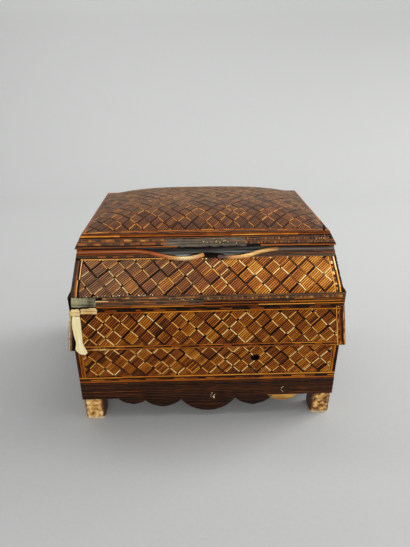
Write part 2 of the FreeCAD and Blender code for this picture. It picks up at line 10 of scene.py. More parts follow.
import bpy
import numpy as np
from bpy.props import FloatProperty, FloatVectorProperty, IntProperty, PointerProperty
from mathutils import Euler, Matrix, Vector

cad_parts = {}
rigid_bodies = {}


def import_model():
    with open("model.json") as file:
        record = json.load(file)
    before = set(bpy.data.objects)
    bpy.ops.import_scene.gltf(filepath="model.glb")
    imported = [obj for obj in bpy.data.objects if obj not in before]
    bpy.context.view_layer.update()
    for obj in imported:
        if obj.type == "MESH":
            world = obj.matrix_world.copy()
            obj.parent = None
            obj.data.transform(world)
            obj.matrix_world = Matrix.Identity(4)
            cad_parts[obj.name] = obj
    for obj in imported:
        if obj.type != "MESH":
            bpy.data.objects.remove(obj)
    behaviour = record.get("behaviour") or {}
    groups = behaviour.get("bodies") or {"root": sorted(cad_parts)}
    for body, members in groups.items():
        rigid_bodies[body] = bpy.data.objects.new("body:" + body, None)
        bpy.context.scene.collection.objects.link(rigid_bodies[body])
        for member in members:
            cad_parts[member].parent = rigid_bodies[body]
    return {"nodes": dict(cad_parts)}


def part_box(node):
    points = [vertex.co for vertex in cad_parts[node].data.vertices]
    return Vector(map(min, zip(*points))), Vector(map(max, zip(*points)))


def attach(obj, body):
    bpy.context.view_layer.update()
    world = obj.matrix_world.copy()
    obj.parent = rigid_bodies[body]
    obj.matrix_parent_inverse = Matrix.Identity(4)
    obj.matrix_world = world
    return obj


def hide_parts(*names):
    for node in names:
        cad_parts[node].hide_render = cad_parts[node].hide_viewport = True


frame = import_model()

bl_info = {
    "name": "Straw Marquetry Box",
    "version": (1, 0, 0),
    "blender": (4, 5, 0),
    "location": "3D View > Sidebar > Straw Box",
    "description": "Makes the straw skins, worn spots and finishes of a marquetry keepsake box",
    "category": "Add Mesh",
}

MM = 0.001


def linear(code):
    """An sRGB hex colour such as "#8a4c17" as linear red, green and blue."""
    srgb = np.array([int(code[place:place + 2], 16) for place in (1, 3, 5)]) / 255
    return tuple(np.where(srgb <= 0.04045, srgb / 12.92, ((srgb + 0.055) / 1.055) ** 2.4))


def corners(node):
    """Lowest and highest corner of a board, in millimetres."""
    low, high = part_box(node)
    return np.array(low) / MM, np.array(high) / MM


def colour(name, description, code):
    """A colour setting whose first value is a hex colour."""
    return FloatVectorProperty(
        name=name, description=description, default=linear(code), subtype="COLOR", min=0, max=1
    )


def number(name, description, value, **more):
    """A number setting with its first value."""
    return FloatProperty(name=name, description=description, default=value, **more)


class StrawSettings(bpy.types.PropertyGroup):
    """Sizes, in millimetres, and colours of the split straw."""

    cell_half_width: number("Cell half width", "Half the width of a diamond", 8.0)
    cell_half_height: number("Cell half height", "Half the height of a diamond", 8.6)
    straws_per_cell: IntProperty(
        name="Straws per cell", description="Straws side by side in a diamond", default=5
    )
    straw_share: number(
        "Straw share", "Part of its place that a straw fills, the rest being glue", 0.76, subtype="FACTOR"
    )
    thickness: number("Thickness", "Height of a glued straw", 0.34)
    splint_width: number("Splint width", "Width of a strip between diamonds", 1.25)
    splint_gap: number("Splint gap", "Glue on each side of a splint", 0.3)
    blackened: colour("Blackened", "Straw under the oldest varnish", "#110602")
    brown: colour("Brown", "Straw dyed or toasted brown", "#451f08")
    amber: colour("Amber", "Straw under clear old varnish", "#9b4d0b")
    honey: colour("Honey", "Straw with thin varnish", "#c97c16")
    gold: colour("Gold", "Straw that kept its own colour", "#efb055")
    cream: colour("Cream", "Straw rubbed bare", "#ffe6a4")
    # This colour serves real dusty bloom, and on the dome also a painted grey reflection and painted shade.
    dust: colour("Dust", "Grey dust and bloomed varnish", "#77634e")


class BoardSettings(bpy.types.PropertyGroup):
    """Colours of the boards, the trim and the metal."""

    glue: colour("Glue", "Dark glue under the straw", "#0e0603")
    old_wood: colour("Old wood", "Inside faces of the boards", "#8f6b42")
    old_grain: colour("Old grain", "Late wood of the inside faces", "#5f4226")
    bare_wood: colour("Bare wood", "Worn foot and apron wood", "#d3a050")
    pale_wood: colour("Pale wood", "Fresh bare wood", "#fff6c6")
    # Paler than the real stain: painted light on the lip, which lies in the lid's shadow.
    slate: colour("Slate", "Stained lip inside the rim", "#8c8b86")
    copper: colour("Copper", "Varnished reed bead", "#b25a22")
    brass: colour("Brass", "Old hinge brass", "#8d7038")
    iron: colour("Iron", "Hand-cut nails", "#3b3632")


class StageSettings(bpy.types.PropertyGroup):
    """Floor, backdrop and lamps."""

    paper: colour("Paper", "Seamless paper under and behind the box", "#adaead")
    window_power: number("Window", "Soft lamp, low on the right", 42.0, unit="POWER")
    overhead_power: number("Overhead", "Soft lamp over the box", 8.0, unit="POWER")
    fill_power: number("Fill", "Soft lamp in front", 16.0, unit="POWER")
    wall_power: number("Wall", "Soft lamp on the backdrop", 10.0, unit="POWER")
    sky_strength: number("Sky", "Even light from all round", 0.5)


class Flat:
    """A flat face: a point on it, the way across and the way up, all in millimetres."""

    def __init__(self, origin, across, up):
        self.origin = np.array(origin, float)
        self.across = np.array(across, float) / np.linalg.norm(across)
        self.up = np.array(up, float) / np.linalg.norm(up)
        self.normal = np.cross(self.across, self.up)

    def at(self, across, up, height):
        """The point that is so far across, up and out from the origin."""
        steps = across[..., None] * self.across + up[..., None] * self.up + height[..., None] * self.normal
        return self.origin + steps


class Cushion:
    """The lid's dome: height times f(x) times f(y), where f(t) = (1 - t^2) (1 + c t^2)."""

    fullness = 0.85

    def __init__(self, middle, half_width, half_depth, level, height):
        self.middle = middle
        self.half = (half_width, half_depth)
        self.level = level
        self.height = height

    def factor(self, share):
        """f(t) and its slope."""
        rise = (1 - share ** 2) * (1 + self.fullness * share ** 2)
        slope = 2 * share * (self.fullness - 1) - 4 * self.fullness * share ** 3
        return rise, slope

    def at(self, across, up, height):
        """The point over a place on the foot of the dome, moved out along its normal."""
        rise_x, slope_x = self.factor(across / self.half[0])
        rise_y, slope_y = self.factor(up / self.half[1])
        lean_x = self.height * slope_x * rise_y / self.half[0]
        lean_y = self.height * rise_x * slope_y / self.half[1]
        scale = height / np.sqrt(1 + lean_x ** 2 + lean_y ** 2)
        x = across - lean_x * scale
        y = up - lean_y * scale + self.middle
        return np.stack([x, y, self.level + self.height * rise_x * rise_y + scale], axis=-1)


def within(*points):
    """How far a place lies inside a convex outline given counterclockwise, least over its sides."""
    start = np.array(points, float)
    way = np.roll(start, -1, axis=0) - start
    inward = np.stack([-way[:, 1], way[:, 0]], axis=1) / np.linalg.norm(way, axis=1)[:, None]

    def depth(across, up):
        place = np.stack([across, up], axis=-1)[..., None, :]
        return ((place - start) * inward).sum(axis=-1).min(axis=-1)

    return depth


def even(value):
    """The same amount at every place."""
    return lambda across, up: value + 0 * across


def straws(origin, along, wide, tone, dust=0.0, lift=None):
    """A group of straws: each lies on the parallelogram from its origin along and wide."""
    origin, along, wide = (np.atleast_2d(np.array(part, float)) for part in (origin, along, wide))
    count = len(origin)
    turned = along[:, 0] * wide[:, 1] - along[:, 1] * wide[:, 0] < 0
    origin = np.where(turned[:, None], origin + wide, origin)
    wide = np.where(turned[:, None], -wide, wide)
    thick = bpy.context.scene.straw_box_straw.thickness if lift is None else lift
    return {
        "origin": origin,
        "along": np.broadcast_to(along, origin.shape),
        "wide": np.broadcast_to(wide, origin.shape),
        "tone": np.broadcast_to(np.asarray(tone, float), (count,)),
        "dust": np.broadcast_to(np.asarray(dust, float), (count,)),
        "lift": np.broadcast_to(np.asarray(thick, float), (count,)),
    }


def together(groups):
    """Several groups of straws as one."""
    return {key: np.concatenate([group[key] for group in groups]) for key in groups[0]}


def lattice(rng, extent, crossing, bright, tone_and_painted_light=None, haze=None, sides=None):
    """Diamonds of straws laid along "/", with a splint on every side of each diamond.

    Crossings lie at the given one plus whole steps along the two sides of a diamond, one
    rising to the right and one rising to the left. bright gives the share of bright splints
    on even and odd "\\" lines, then on even and odd "/" lines. tone_and_painted_light adds
    to the tone by place: the straw's own tone, and painted light and shade that make parts
    lighter or darker as light falls on them. haze gives the dust: dusty bloom, and
    on the dome also a painted grey reflection and painted shade.
    """
    kit = bpy.context.scene.straw_box_straw
    half = (kit.cell_half_width, kit.cell_half_height)
    rising, falling = np.array(sides or (half, (-half[0], half[1])), float)
    low, high = np.array(extent[:2]), np.array(extent[2:])
    ends = np.array([(x, y) for x in (low[0], high[0]) for y in (low[1], high[1])]) - crossing
    steps = ends @ np.linalg.inv(np.array([rising, falling]))
    first = np.floor(steps.min(axis=0)).astype(int) - 1
    last = np.ceil(steps.max(axis=0)).astype(int) + 1
    right, left = np.meshgrid(np.arange(first[0], last[0]), np.arange(first[1], last[1]))
    right, left = right.ravel(), left.ravel()
    foot = crossing + right[:, None] * rising + left[:, None] * falling
    middle = foot + (rising + falling) / 2
    room = np.abs(rising) + np.abs(falling)
    near = ((middle > low - room) & (middle < high + room)).all(axis=1)
    foot, right, left = foot[near], right[near], left[near]
    count = len(foot)
    area = abs(rising[0] * falling[1] - rising[1] * falling[0])
    margin = kit.splint_width / 2 + kit.splint_gap
    trim = margin * np.linalg.norm(falling) / area
    edge = margin * np.linalg.norm(rising) / area
    share = (1 - 2 * edge) / kit.straws_per_cell

    kind = rng.random(count)
    cell_tone = rng.normal(0.42, 0.03, count) + 0.12 * (kind < 0.1) - 0.06 * (kind > 0.94)
    spread = rng.uniform(0.03, 0.09, count)
    groups = []
    for number in range(kit.straws_per_cell):
        origin = foot + rising * trim + falling * (edge + number * share)
        tone = cell_tone + spread * rng.normal(0, 1, count)
        lift = kit.thickness * rng.uniform(0.75, 1.1, count)
        wide = falling * share * kit.straw_share
        groups.append(straws(origin, rising * (1 - 2 * trim), wide, tone, lift=lift))

    for way, line, shares in ((falling, right, bright[:2]), (rising, left, bright[2:])):
        even = line % 2 == 0
        shining = rng.random(count) < np.where(even, shares[0], shares[1])
        start = np.where(shining, rng.uniform(0.06, 0.16, count), 0.02)
        stop = np.where(shining, rng.uniform(0.84, 0.95, count), 0.98)
        out = np.array([-way[1], way[0]]) / np.linalg.norm(way)
        part = np.where(shining, rng.uniform(0.85, 1.1, count), rng.uniform(0.6, 1.1, count))
        wide = kit.splint_width * part
        light = np.where(even, rng.uniform(0.76, 1.0, count), rng.uniform(0.64, 0.9, count))
        tone = np.where(shining, light, rng.uniform(0.03, 0.33, count))
        lift = kit.thickness * np.where(shining, 1.35, rng.uniform(0.5, 0.95, count))
        origin = foot + way * start[:, None] - out * wide[:, None] / 2
        splints = straws(origin, way * (stop - start)[:, None], out * wide[:, None], tone, lift=lift)
        kept = shining | (rng.random(count) < 0.82)
        groups.append({key: value[kept] for key, value in splints.items()})
    field = together(groups)
    middle = field["origin"] + field["along"] / 2
    if tone_and_painted_light:
        field["tone"] = field["tone"] + tone_and_painted_light(middle[:, 0], middle[:, 1])
    if haze:
        field["dust"] = haze(middle[:, 0], middle[:, 1]) * np.clip(field["tone"] * 3, 0.15, 1)
    return field


def rule(rng, start, way, length, width, tone, piece=70.0, spread=0.05, dust=0.0, lift=None):
    """A border line: long straws end to end, from a start along a way."""
    way = np.array(way, float) / np.linalg.norm(way)
    ends = [0.0]
    while ends[-1] < length:
        ends.append(min(length, ends[-1] + piece * rng.uniform(0.6, 1.4)))
    ends = np.array(ends)
    side = np.array([-way[1], way[0]])
    shift = rng.normal(0, 0.1, (len(ends) - 1, 1)) * side
    origin = np.array(start, float) + ends[:-1, None] * way + shift
    along = (np.diff(ends) - 0.15)[:, None] * way + rng.normal(0, 0.12, shift[:, :1].shape) * side
    wide = side * width * rng.uniform(0.88, 1.08, (len(origin), 1))
    shade = tone + rng.normal(0, spread, len(origin))
    return straws(origin, along, wide, shade, dust, lift)


def dashes(rng, start, way, length, width, tones, step=6.0, dust=0.0, slack=0.35, lift=None):
    """A border row of short straws whose tones take turns."""
    way = np.array(way, float) / np.linalg.norm(way)
    count = max(2, int(length / step))
    steps = rng.uniform(1 - slack, 1 + slack, count)
    ends = np.concatenate([[0], np.cumsum(steps)]) / steps.sum() * length
    side = np.array([-way[1], way[0]])
    origin = np.array(start, float) + ends[:-1, None] * way + rng.normal(0, 0.06, (count, 1)) * side
    along = (np.diff(ends) - 0.12)[:, None] * way
    wide = side * width * rng.uniform(0.85, 1.05, (count, 1))
    shade = np.array(tones)[np.arange(count) % len(tones)] + rng.normal(0, 0.06, count)
    return straws(origin, along, wide, shade, dust, lift)


def lay(name, body, group, surface, inside, rings=2):
    """One mesh of closed straws, each cut where its long lines leave the outline.

    A straw's section runs over five places across it: foot, shoulder, crown, shoulder, foot,
    and the outer ones are painted darker: a painted shade in the grooves between straws.
    Each long line keeps the stretch on which inside() is positive, found on even samples
    and drawn between the last sample inside and the first one outside.
    """
    shares = np.array([0.0, 0.14, 0.5, 0.86, 1.0])
    heights = np.array([0.0, 0.78, 1.0, 0.78, 0.0])
    # Share of painted shade at each of the five places across a straw: darkest at the feet.
    edge_shade = np.array([1.0, 0.35, 0.0, 0.35, 1.0])
    origin = group["origin"][:, None, :] + shares[None, :, None] * group["wide"][:, None, :]
    along = group["along"][:, None, :]
    lines = len(shares)
    samples = np.linspace(0, 1, 33)
    spots = origin[:, :, None, :] + samples[None, None, :, None] * along[:, :, None, :]
    depth = inside(spots[..., 0], spots[..., 1])
    kept = depth > 0
    some = kept.any(axis=2)
    first = kept.argmax(axis=2)
    last = len(samples) - 1 - kept[:, :, ::-1].argmax(axis=2)
    deepest = samples[depth.argmax(axis=2)]

    def edge(index, step):
        near = np.take_along_axis(depth, index[..., None], 2)[..., 0]
        beyond = np.clip(index + step, 0, len(samples) - 1)
        far = np.take_along_axis(depth, beyond[..., None], 2)[..., 0]
        drop = np.where(beyond == index, 0, near / np.maximum(near - far, 1e-9))
        return samples[index] + step * np.clip(drop, 0, 1) * (samples[1] - samples[0])

    begin = np.where(some, edge(first, -1), deepest)
    stop = np.where(some, edge(last, 1), deepest)
    long_enough = ((stop - begin) * np.linalg.norm(along, axis=2)).max(axis=1) > 0.7
    pick = long_enough & (some.sum(axis=1) > 1)
    origin, along, begin, stop = origin[pick], along[pick], begin[pick], stop[pick]
    group = {key: value[pick] for key, value in group.items()}
    count = len(origin)
    travel = np.linspace(0, 1, rings)[None, :, None]
    reach = begin[:, None, :] + (stop - begin)[:, None, :] * travel
    flat = origin[:, None, :, :] + reach[..., None] * along[:, None, :, :]
    lift = heights[None, None, :] * group["lift"][:, None, None] * np.ones((1, rings, 1))
    points = surface.at(flat[..., 0], flat[..., 1], lift).reshape(-1, 3) * MM

    ring = np.arange(lines)
    base = (np.arange(count) * rings * lines)[:, None, None]
    turn = (np.arange(rings - 1) * lines)[None, :, None]
    near = base + turn + ring
    beside = base + turn + (ring + 1) % lines
    quads = np.stack([near, near + lines, beside + lines, beside], axis=-1).reshape(-1, 4)
    foot = base[:, 0] + ring
    head = base[:, 0] + (rings - 1) * lines + ring[::-1]
    mesh = bpy.data.meshes.new(name)
    mesh.from_pydata(points.tolist(), [], quads.tolist() + foot.tolist() + head.tolist())

    length = np.linalg.norm(group["along"], axis=1)[:, None, None]
    width = np.linalg.norm(group["wide"], axis=1)[:, None, None]
    rng = np.random.default_rng(count)
    phase = rng.random(count)[:, None, None] * 90
    ones = np.ones((count, rings, lines))
    fibre = np.stack([reach * length, shares * width * ones, phase * ones], axis=-1)
    thread = mesh.attributes.new("fibre", "FLOAT_VECTOR", "POINT")
    thread.data.foreach_set("vector", fibre.astype(np.float32).ravel())
    kind = np.stack([
        np.clip(group["tone"], 0, 1)[:, None, None] * ones,
        np.clip(group["dust"], 0, 1)[:, None, None] * ones,
        phase * ones / 90,
        edge_shade * ones,
    ], axis=-1)
    tint = mesh.attributes.new("straw", "FLOAT_COLOR", "POINT")
    tint.data.foreach_set("color", kind.astype(np.float32).ravel())
    return finish_piece(name, mesh, body, straw_finish())


def finish_piece(name, mesh, body, material, smooth=False):
    """Links a mesh as one piece that rides on a body and takes its finish from a slot."""
    mesh.update()
    if smooth:
        mesh.polygons.foreach_set("use_smooth", np.ones(len(mesh.polygons), bool))
    mesh.materials.append(material)
    piece = bpy.data.objects.new(name, mesh)
    bpy.context.scene.collection.objects.link(piece)
    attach(piece, body)
    return piece


def slab(name, body, surface, outline, base, thickness, material, crown=0.0):
    """A thin flake: an outline on a surface, raised to a thickness, its middle higher by crown.

    The outline is drawn in four loops, at the foot, at the edge of the top, just inside it
    and halfway to the middle, and the middle is one point above and one below.
    """
    outline = np.array(outline, float)
    middle = outline.mean(axis=0)
    loops = [(1.0, base), (1.0, base + thickness * 0.7), (0.93, base + thickness)]
    loops.append((0.45, base + thickness + crown * 0.8))
    rings = [middle + (outline - middle) * share for share, level in loops]
    flat = np.concatenate([*rings, [middle, middle]])
    count = len(outline)
    lift = np.concatenate([np.full(count, level) for share, level in loops])
    lift = np.append(lift, [base + thickness + crown, base])
    points = surface.at(flat[:, 0], flat[:, 1], lift) * MM
    ring = np.arange(count)
    after = (ring + 1) % count
    faces = []
    for level in range(len(loops) - 1):
        low, high = level * count, (level + 1) * count
        faces += np.stack([low + ring, low + after, high + after, high + ring], axis=1).tolist()
    top = len(loops) * count
    inner = top - count
    faces += np.stack([inner + ring, inner + after, np.full(count, top)], axis=1).tolist()
    faces += np.stack([after, ring, np.full(count, top + 1)], axis=1).tolist()
    mesh = bpy.data.meshes.new(name)
    mesh.from_pydata(points.tolist(), [], faces)
    return finish_piece(name, mesh, body, material)


def ring(name, body, surface, middle, inner, outer, thickness, material, foot=0.0):
    """A ring round a hole, from an inner radius to an outer one that may vary round it.

    Four loops: the foot and the top of the outer edge, then the top and the foot of the inner one.
    """
    count = len(outer)
    angles = np.linspace(0, 2 * math.pi, count, endpoint=False)
    radius = np.concatenate([outer, outer, np.full(2 * count, inner)])
    lift = np.repeat([foot, thickness, thickness, foot], count)
    turn = np.tile(angles, 4)
    points = surface.at(middle[0] + radius * np.cos(turn), middle[1] + radius * np.sin(turn), lift) * MM
    near = np.arange(count)
    after = (near + 1) % count
    level = (np.arange(4) * count)[:, None]
    above = np.roll(level, -1, axis=0)
    faces = np.stack([level + near, level + after, above + after, above + near], axis=-1).reshape(-1, 4)
    mesh = bpy.data.meshes.new(name)
    mesh.from_pydata(points.tolist(), [], faces.tolist())
    return finish_piece(name, mesh, body, material)


def ragged(rng, corner_points, step=1.6, wander=0.35):
    """A closed outline through corner points, counterclockwise, with a torn edge."""
    corner_points = np.array(corner_points, float)
    out = []
    for start, end in zip(corner_points, np.roll(corner_points, -1, axis=0)):
        count = max(1, int(np.linalg.norm(end - start) / step))
        share = np.arange(count)[:, None] / count
        out.append(start + (end - start) * share + rng.normal(0, wander, (count, 2)) * (share > 0))
    return np.concatenate(out)


def wire(tree, made, settings=None, **links):
    """Sets a shader node's fields and sockets, and links its sockets from nodes or sockets.

    A link's key is the socket's name, with _ for a space, or i and the socket's number. A
    node that is given alone stands for its first output.
    """
    for key, value in (settings or {}).items():
        if isinstance(key, int) or key in made.inputs:
            made.inputs[key].default_value = value
        else:
            setattr(made, key, value)
    for key, source in links.items():
        place = int(key[1:]) if key[0] == "i" and key[1:].isdigit() else key.replace("_", " ")
        output = source.outputs[0] if hasattr(source, "outputs") else source
        tree.links.new(output, made.inputs[place])
    return made


def node(tree, kind, settings=None, **links):
    """Adds a shader node and wires it."""
    return wire(tree, tree.nodes.new("ShaderNode" + kind), settings, **links)


def new_finish(name):
    """A material with its tree and its principled shader, or only the material once it is made."""
    material = bpy.data.materials.get(name)
    if material:
        return material, None, None
    material = bpy.data.materials.new(name)
    material.use_nodes = True
    tree = material.node_tree
    return material, tree, tree.nodes["Principled BSDF"]


def ramp(tree, factor, *stops):
    """A colour ramp from stops of (place, linear colour)."""
    made = node(tree, "ValToRGB", Fac=factor)
    band = made.color_ramp
    while len(band.elements) < len(stops):
        band.elements.new(0.5)
    for element, (place, tint) in zip(band.elements, stops):
        element.position = place
        element.color = (*tint, 1)
    return made


def scaled(factor, offset, **more):
    """Settings of a Math node that gives a value times a factor plus an offset."""
    return {"operation": "MULTIPLY_ADD", 1: factor, 2: offset, **more}


def over(tint, **more):
    """Settings of a Mix node that lays a colour over another."""
    return {"data_type": "RGBA", 7: (*tint, 1), **more}


def straw_finish():
    """Split rye straw, ironed flat and glued, under old shellac.

    The stem's waxy skin is glossy, with fine fibres along it, and darkens from gold to
    near black with age. Fibres are about 0.2 mm apart and are drawn at 0.45 mm to show.
    The mesh gives each straw's tone, its dust and the painted shade along its edges,
    and the place along its fibres.
    """
    material, tree, shader = new_finish("split_rye_straw_shellacked")
    if tree is None:
        return material
    kit = bpy.context.scene.straw_box_straw
    kind = node(tree, "Attribute", {"attribute_name": "straw"})
    parts = node(tree, "SeparateColor", Color=kind)
    thread = node(tree, "Attribute", {"attribute_name": "fibre"})
    stretch = node(tree, "Mapping", {"Scale": (0.09, 2.2, 1.0)}, Vector=thread.outputs["Vector"])
    fibres = node(tree, "TexNoise", {"Scale": 1.0, "Detail": 3.0, "Roughness": 0.6}, Vector=stretch)
    spot = node(tree, "TexCoord").outputs["Object"]
    patches = node(tree, "TexNoise", {"Scale": 48.0, "Detail": 4.0}, Vector=spot)
    streak = node(tree, "Math", scaled(0.6, -0.3), i0=fibres)
    blotch = node(tree, "Math", scaled(0.22, -0.11), i0=patches)
    # Each straw darker towards its long edges: painted shade in the grooves between straws.
    edge_shade = node(tree, "Math", scaled(-0.26, 0), i0=kind.outputs["Alpha"], i2=parts.outputs["Red"])
    varied = node(tree, "Math", i0=streak, i1=blotch)
    tone = node(tree, "Math", i0=varied, i1=edge_shade)
    tint = ramp(
        tree, tone, (0.0, kit.blackened), (0.2, kit.brown), (0.42, kit.amber), (0.6, kit.honey),
        (0.8, kit.gold), (1.0, kit.cream),
    )
    grime = node(tree, "TexNoise", {"Scale": 160.0, "Detail": 5.0}, Vector=spot)
    settled = node(tree, "Math", scaled(1.5, 0.1, use_clamp=True), i0=grime)
    cover = node(
        tree, "Math", {"operation": "MULTIPLY", "use_clamp": True}, i0=settled, i1=parts.outputs["Green"]
    )
    # Grey laid over the straw: dusty bloom, and on the dome a painted grey reflection and painted shade.
    mixed = node(tree, "Mix", over(kit.dust), i0=cover, i6=tint)
    gloss = node(tree, "Math", scaled(0.30, 0.20), i0=fibres)
    rough = node(tree, "Math", scaled(0.4, 0, use_clamp=True), i0=cover, i2=gloss)
    relief = node(tree, "Bump", {"Strength": 0.5, "Distance": 0.00012}, Height=fibres)
    wire(
        tree, shader, {"IOR": 1.5, "Specular IOR Level": 0.12},
        Base_Color=mixed.outputs[2], Roughness=rough, Normal=relief,
    )
    return material


def wood_finish(name, light, dark, grain=(1, 0, 0), covered=None, mottle=0.25, dusty=1.0):
    """Softwood board: straight grain about 1.2 mm apart along one way, hand planed, unvarnished.

    Where the face points the covered way, the wood lies under dark glue, paler where it is dusty.
    """
    material, tree, shader = new_finish(name)
    if tree is None:
        return material
    place = node(tree, "TexCoord")
    spot = place.outputs["Object"]
    scale = tuple(18.0 if part else 820.0 for part in grain)
    stretch = node(tree, "Mapping", {"Scale": scale}, Vector=spot)
    settings = {"Scale": 1.0, "Detail": 4.0, "Roughness": 0.62, "Distortion": 0.4}
    grain_lines = node(tree, "TexNoise", settings, Vector=stretch)
    clouds = node(tree, "TexNoise", {"Scale": 60.0, "Detail": 5.0}, Vector=spot)
    blend = node(tree, "Math", scaled(mottle * 2, -mottle), i0=clouds)
    total = node(tree, "Math", i0=grain_lines, i1=blend)
    result = ramp(tree, total, (0.34, dark), (0.66, light)).outputs["Color"]
    if covered is not None:
        facing = node(
            tree, "VectorMath", {"operation": "DOT_PRODUCT", 1: tuple(covered)}, i0=place.outputs["Normal"]
        )
        under = node(tree, "Math", {"operation": "GREATER_THAN", 1: 0.6}, i0=facing.outputs["Value"])
        glue = [part * dusty for part in bpy.context.scene.straw_box_board.glue]
        result = node(tree, "Mix", over(glue), i0=under, i6=result).outputs[2]
    shine = node(tree, "Math", scaled(0.2, 0.52), i0=grain_lines)
    relief = node(tree, "Bump", {"Strength": 0.35, "Distance": 0.0002}, Height=grain_lines)
    specular = 0.2 if covered is None else 0.08
    wire(tree, shader, {"Specular IOR Level": specular}, Base_Color=result, Roughness=shine, Normal=relief)
    return material


def glue_finish():
    """Bare hide glue where straw is lost: blackened by age and dirt, and matt."""
    material, tree, shader = new_finish("blackened_hide_glue")
    if tree is None:
        return material
    glue = bpy.context.scene.straw_box_board.glue
    spot = node(tree, "TexCoord").outputs["Object"]
    dirt = node(tree, "TexNoise", {"Scale": 350.0, "Detail": 4.0}, Vector=spot)
    tint = ramp(tree, dirt, (0.4, glue), (0.75, tuple(part * 4 for part in glue)))
    wire(tree, shader, {"Roughness": 0.8, "Specular IOR Level": 0.04}, Base_Color=tint)
    return material


def metal_finish(name, tint, rough, spots):
    """Old sheet or wire metal: worn even by handling, with darker tarnish in patches."""
    material, tree, shader = new_finish(name)
    if tree is None:
        return material
    spot = node(tree, "TexCoord").outputs["Object"]
    tarnish = node(tree, "TexNoise", {"Scale": 420.0, "Detail": 5.0}, Vector=spot)
    dark = tuple(part * 0.25 for part in tint)
    shade = ramp(tree, tarnish, (0.38, dark), (0.38 + spots, tint))
    worn = node(tree, "Math", scaled(-0.3, rough + 0.2), i0=tarnish)
    wire(tree, shader, {"Metallic": 1.0}, Base_Color=shade, Roughness=worn)
    return material


def reed_finish():
    """Split reed bead, shellacked: copper, rubbed pale where it is loose, with a painted highlight there,
    grey at the right.
    """
    material, tree, shader = new_finish("reed_bead_shellacked")
    if tree is None:
        return material
    copper = bpy.context.scene.straw_box_board.copper
    spot = node(tree, "TexCoord").outputs["Object"]
    parts = node(tree, "SeparateXYZ", Vector=spot)
    ends = {"From Min": -UPPER * MM, "From Max": UPPER * MM}
    span = node(tree, "MapRange", ends, Value=parts.outputs["X"])
    grey = linear("#6f5d50")
    cream = linear("#ffe2a4")
    gold = linear("#d48f42")
    honey = linear("#f2c070")
    dull = linear("#4a2a18")
    # Cream, gold and honey on the loose stretches either side of the middle: bare reed, and partly a painted
    # highlight where the loose reed catches the light.
    tint = ramp(
        tree, span, (0.0, copper), (0.33, copper), (0.37, gold), (0.41, cream), (0.492, gold),
        (0.5, dull), (0.57, dull), (0.60, gold), (0.66, honey), (0.73, honey), (0.772, gold),
        (0.782, grey), (1.0, grey),
    )
    stretch = node(tree, "Mapping", {"Scale": (25, 900, 900)}, Vector=spot)
    fibres = node(tree, "TexNoise", {"Scale": 1.0, "Detail": 4.0}, Vector=stretch)
    shade = ramp(tree, fibres, (0.3, (0.35, 0.3, 0.27)), (0.58, (1.0, 1.0, 1.0)))
    settings = {"data_type": "RGBA", "blend_type": "MULTIPLY", 0: 0.8}
    mixed = node(tree, "Mix", settings, i6=tint, i7=shade)
    relief = node(tree, "Bump", {"Strength": 0.4, "Distance": 0.0002}, Height=fibres)
    wire(tree, shader, {"Roughness": 0.26}, Base_Color=mixed.outputs[2], Normal=relief)
    return material


def lip_finish():
    """Limewood lip stained blue-grey, made paler as painted light in the lid's shadow; pale streaks: rubbed
    wax and painted sheen.
    """
    material, tree, shader = new_finish("stained_waxed_limewood")
    if tree is None:
        return material
    slate = bpy.context.scene.straw_box_board.slate
    spot = node(tree, "TexCoord").outputs["Object"]
    stretch = node(tree, "Mapping", {"Scale": (14, 500, 500)}, Vector=spot)
    streaks = node(tree, "TexNoise", {"Scale": 1.0, "Detail": 3.0, "Roughness": 0.5}, Vector=stretch)
    tint = ramp(
        tree, streaks, (0.34, linear("#191716")), (0.5, linear("#4c4845")), (0.62, slate),
        (0.74, linear("#c3c8ca")),
    )
    wire(tree, shader, {"Roughness": 0.34}, Base_Color=tint)
    return material


def foot_finish():
    """Carved limewood foot, once varnished: gold and cream where it is rubbed, brown in its pits.

    The pits are 1 to 3 mm across. The side that faces the middle of the box is painted dark,
    a painted shade under the box; the rounded corners are darker, and the bottom edge is bare.
    """
    material, tree, shader = new_finish("worn_carved_limewood")
    if tree is None:
        return material
    bare_wood = bpy.context.scene.straw_box_board.bare_wood
    place = node(tree, "TexCoord")
    spot = place.outputs["Object"]
    parts = node(tree, "SeparateXYZ", Vector=spot)
    facing = node(tree, "SeparateXYZ", Vector=place.outputs["Normal"]).outputs["X"]
    pits = node(tree, "TexNoise", {"Scale": 210.0, "Detail": 3.0, "Roughness": 0.55}, Vector=spot)
    sign = node(tree, "Math", {"operation": "SIGN"}, i0=parts.outputs["X"])
    browner = node(tree, "Math", scaled(-0.05, 0), i0=sign, i2=pits)
    tint = ramp(
        tree, browner, (0.3, linear("#3b220c")), (0.42, linear("#96622a")), (0.54, bare_wood),
        (0.7, linear("#ffdc98")),
    )
    # The side facing the middle of the box is painted dark brown: a painted shade under the box.
    inward = node(tree, "Math", {"operation": "MULTIPLY"}, i0=sign, i1=facing)
    shaded = node(tree, "Math", {"operation": "LESS_THAN", 1: -0.6}, i0=inward)
    dark = node(tree, "Mix", over(linear("#4a260e")), i0=shaded, i6=tint)
    # Darker where the face turns round the rounded corners.
    turned = node(tree, "Math", {"operation": "ABSOLUTE"}, i0=facing)
    none, most = (0, 0, 0), (0.85, 0.85, 0.85)
    corner = ramp(tree, turned, (0.2, none), (0.4, most), (0.85, most), (0.97, none))
    kept = node(tree, "Mix", over(linear("#5a3012")), i0=corner, i6=dark.outputs[2])
    edge = {"From Min": 0.0028, "From Max": 0.0012, "To Max": 0.8}
    low = node(tree, "MapRange", edge, Value=parts.outputs["Z"])
    mixed = node(tree, "Mix", over(linear("#e9d3ae")), i0=low, i6=kept.outputs[2])
    relief = node(tree, "Bump", {"Strength": 0.6, "Distance": 0.0006}, Height=pits)
    wire(tree, shader, {"Roughness": 0.5}, Base_Color=mixed.outputs[2], Normal=relief)
    return material


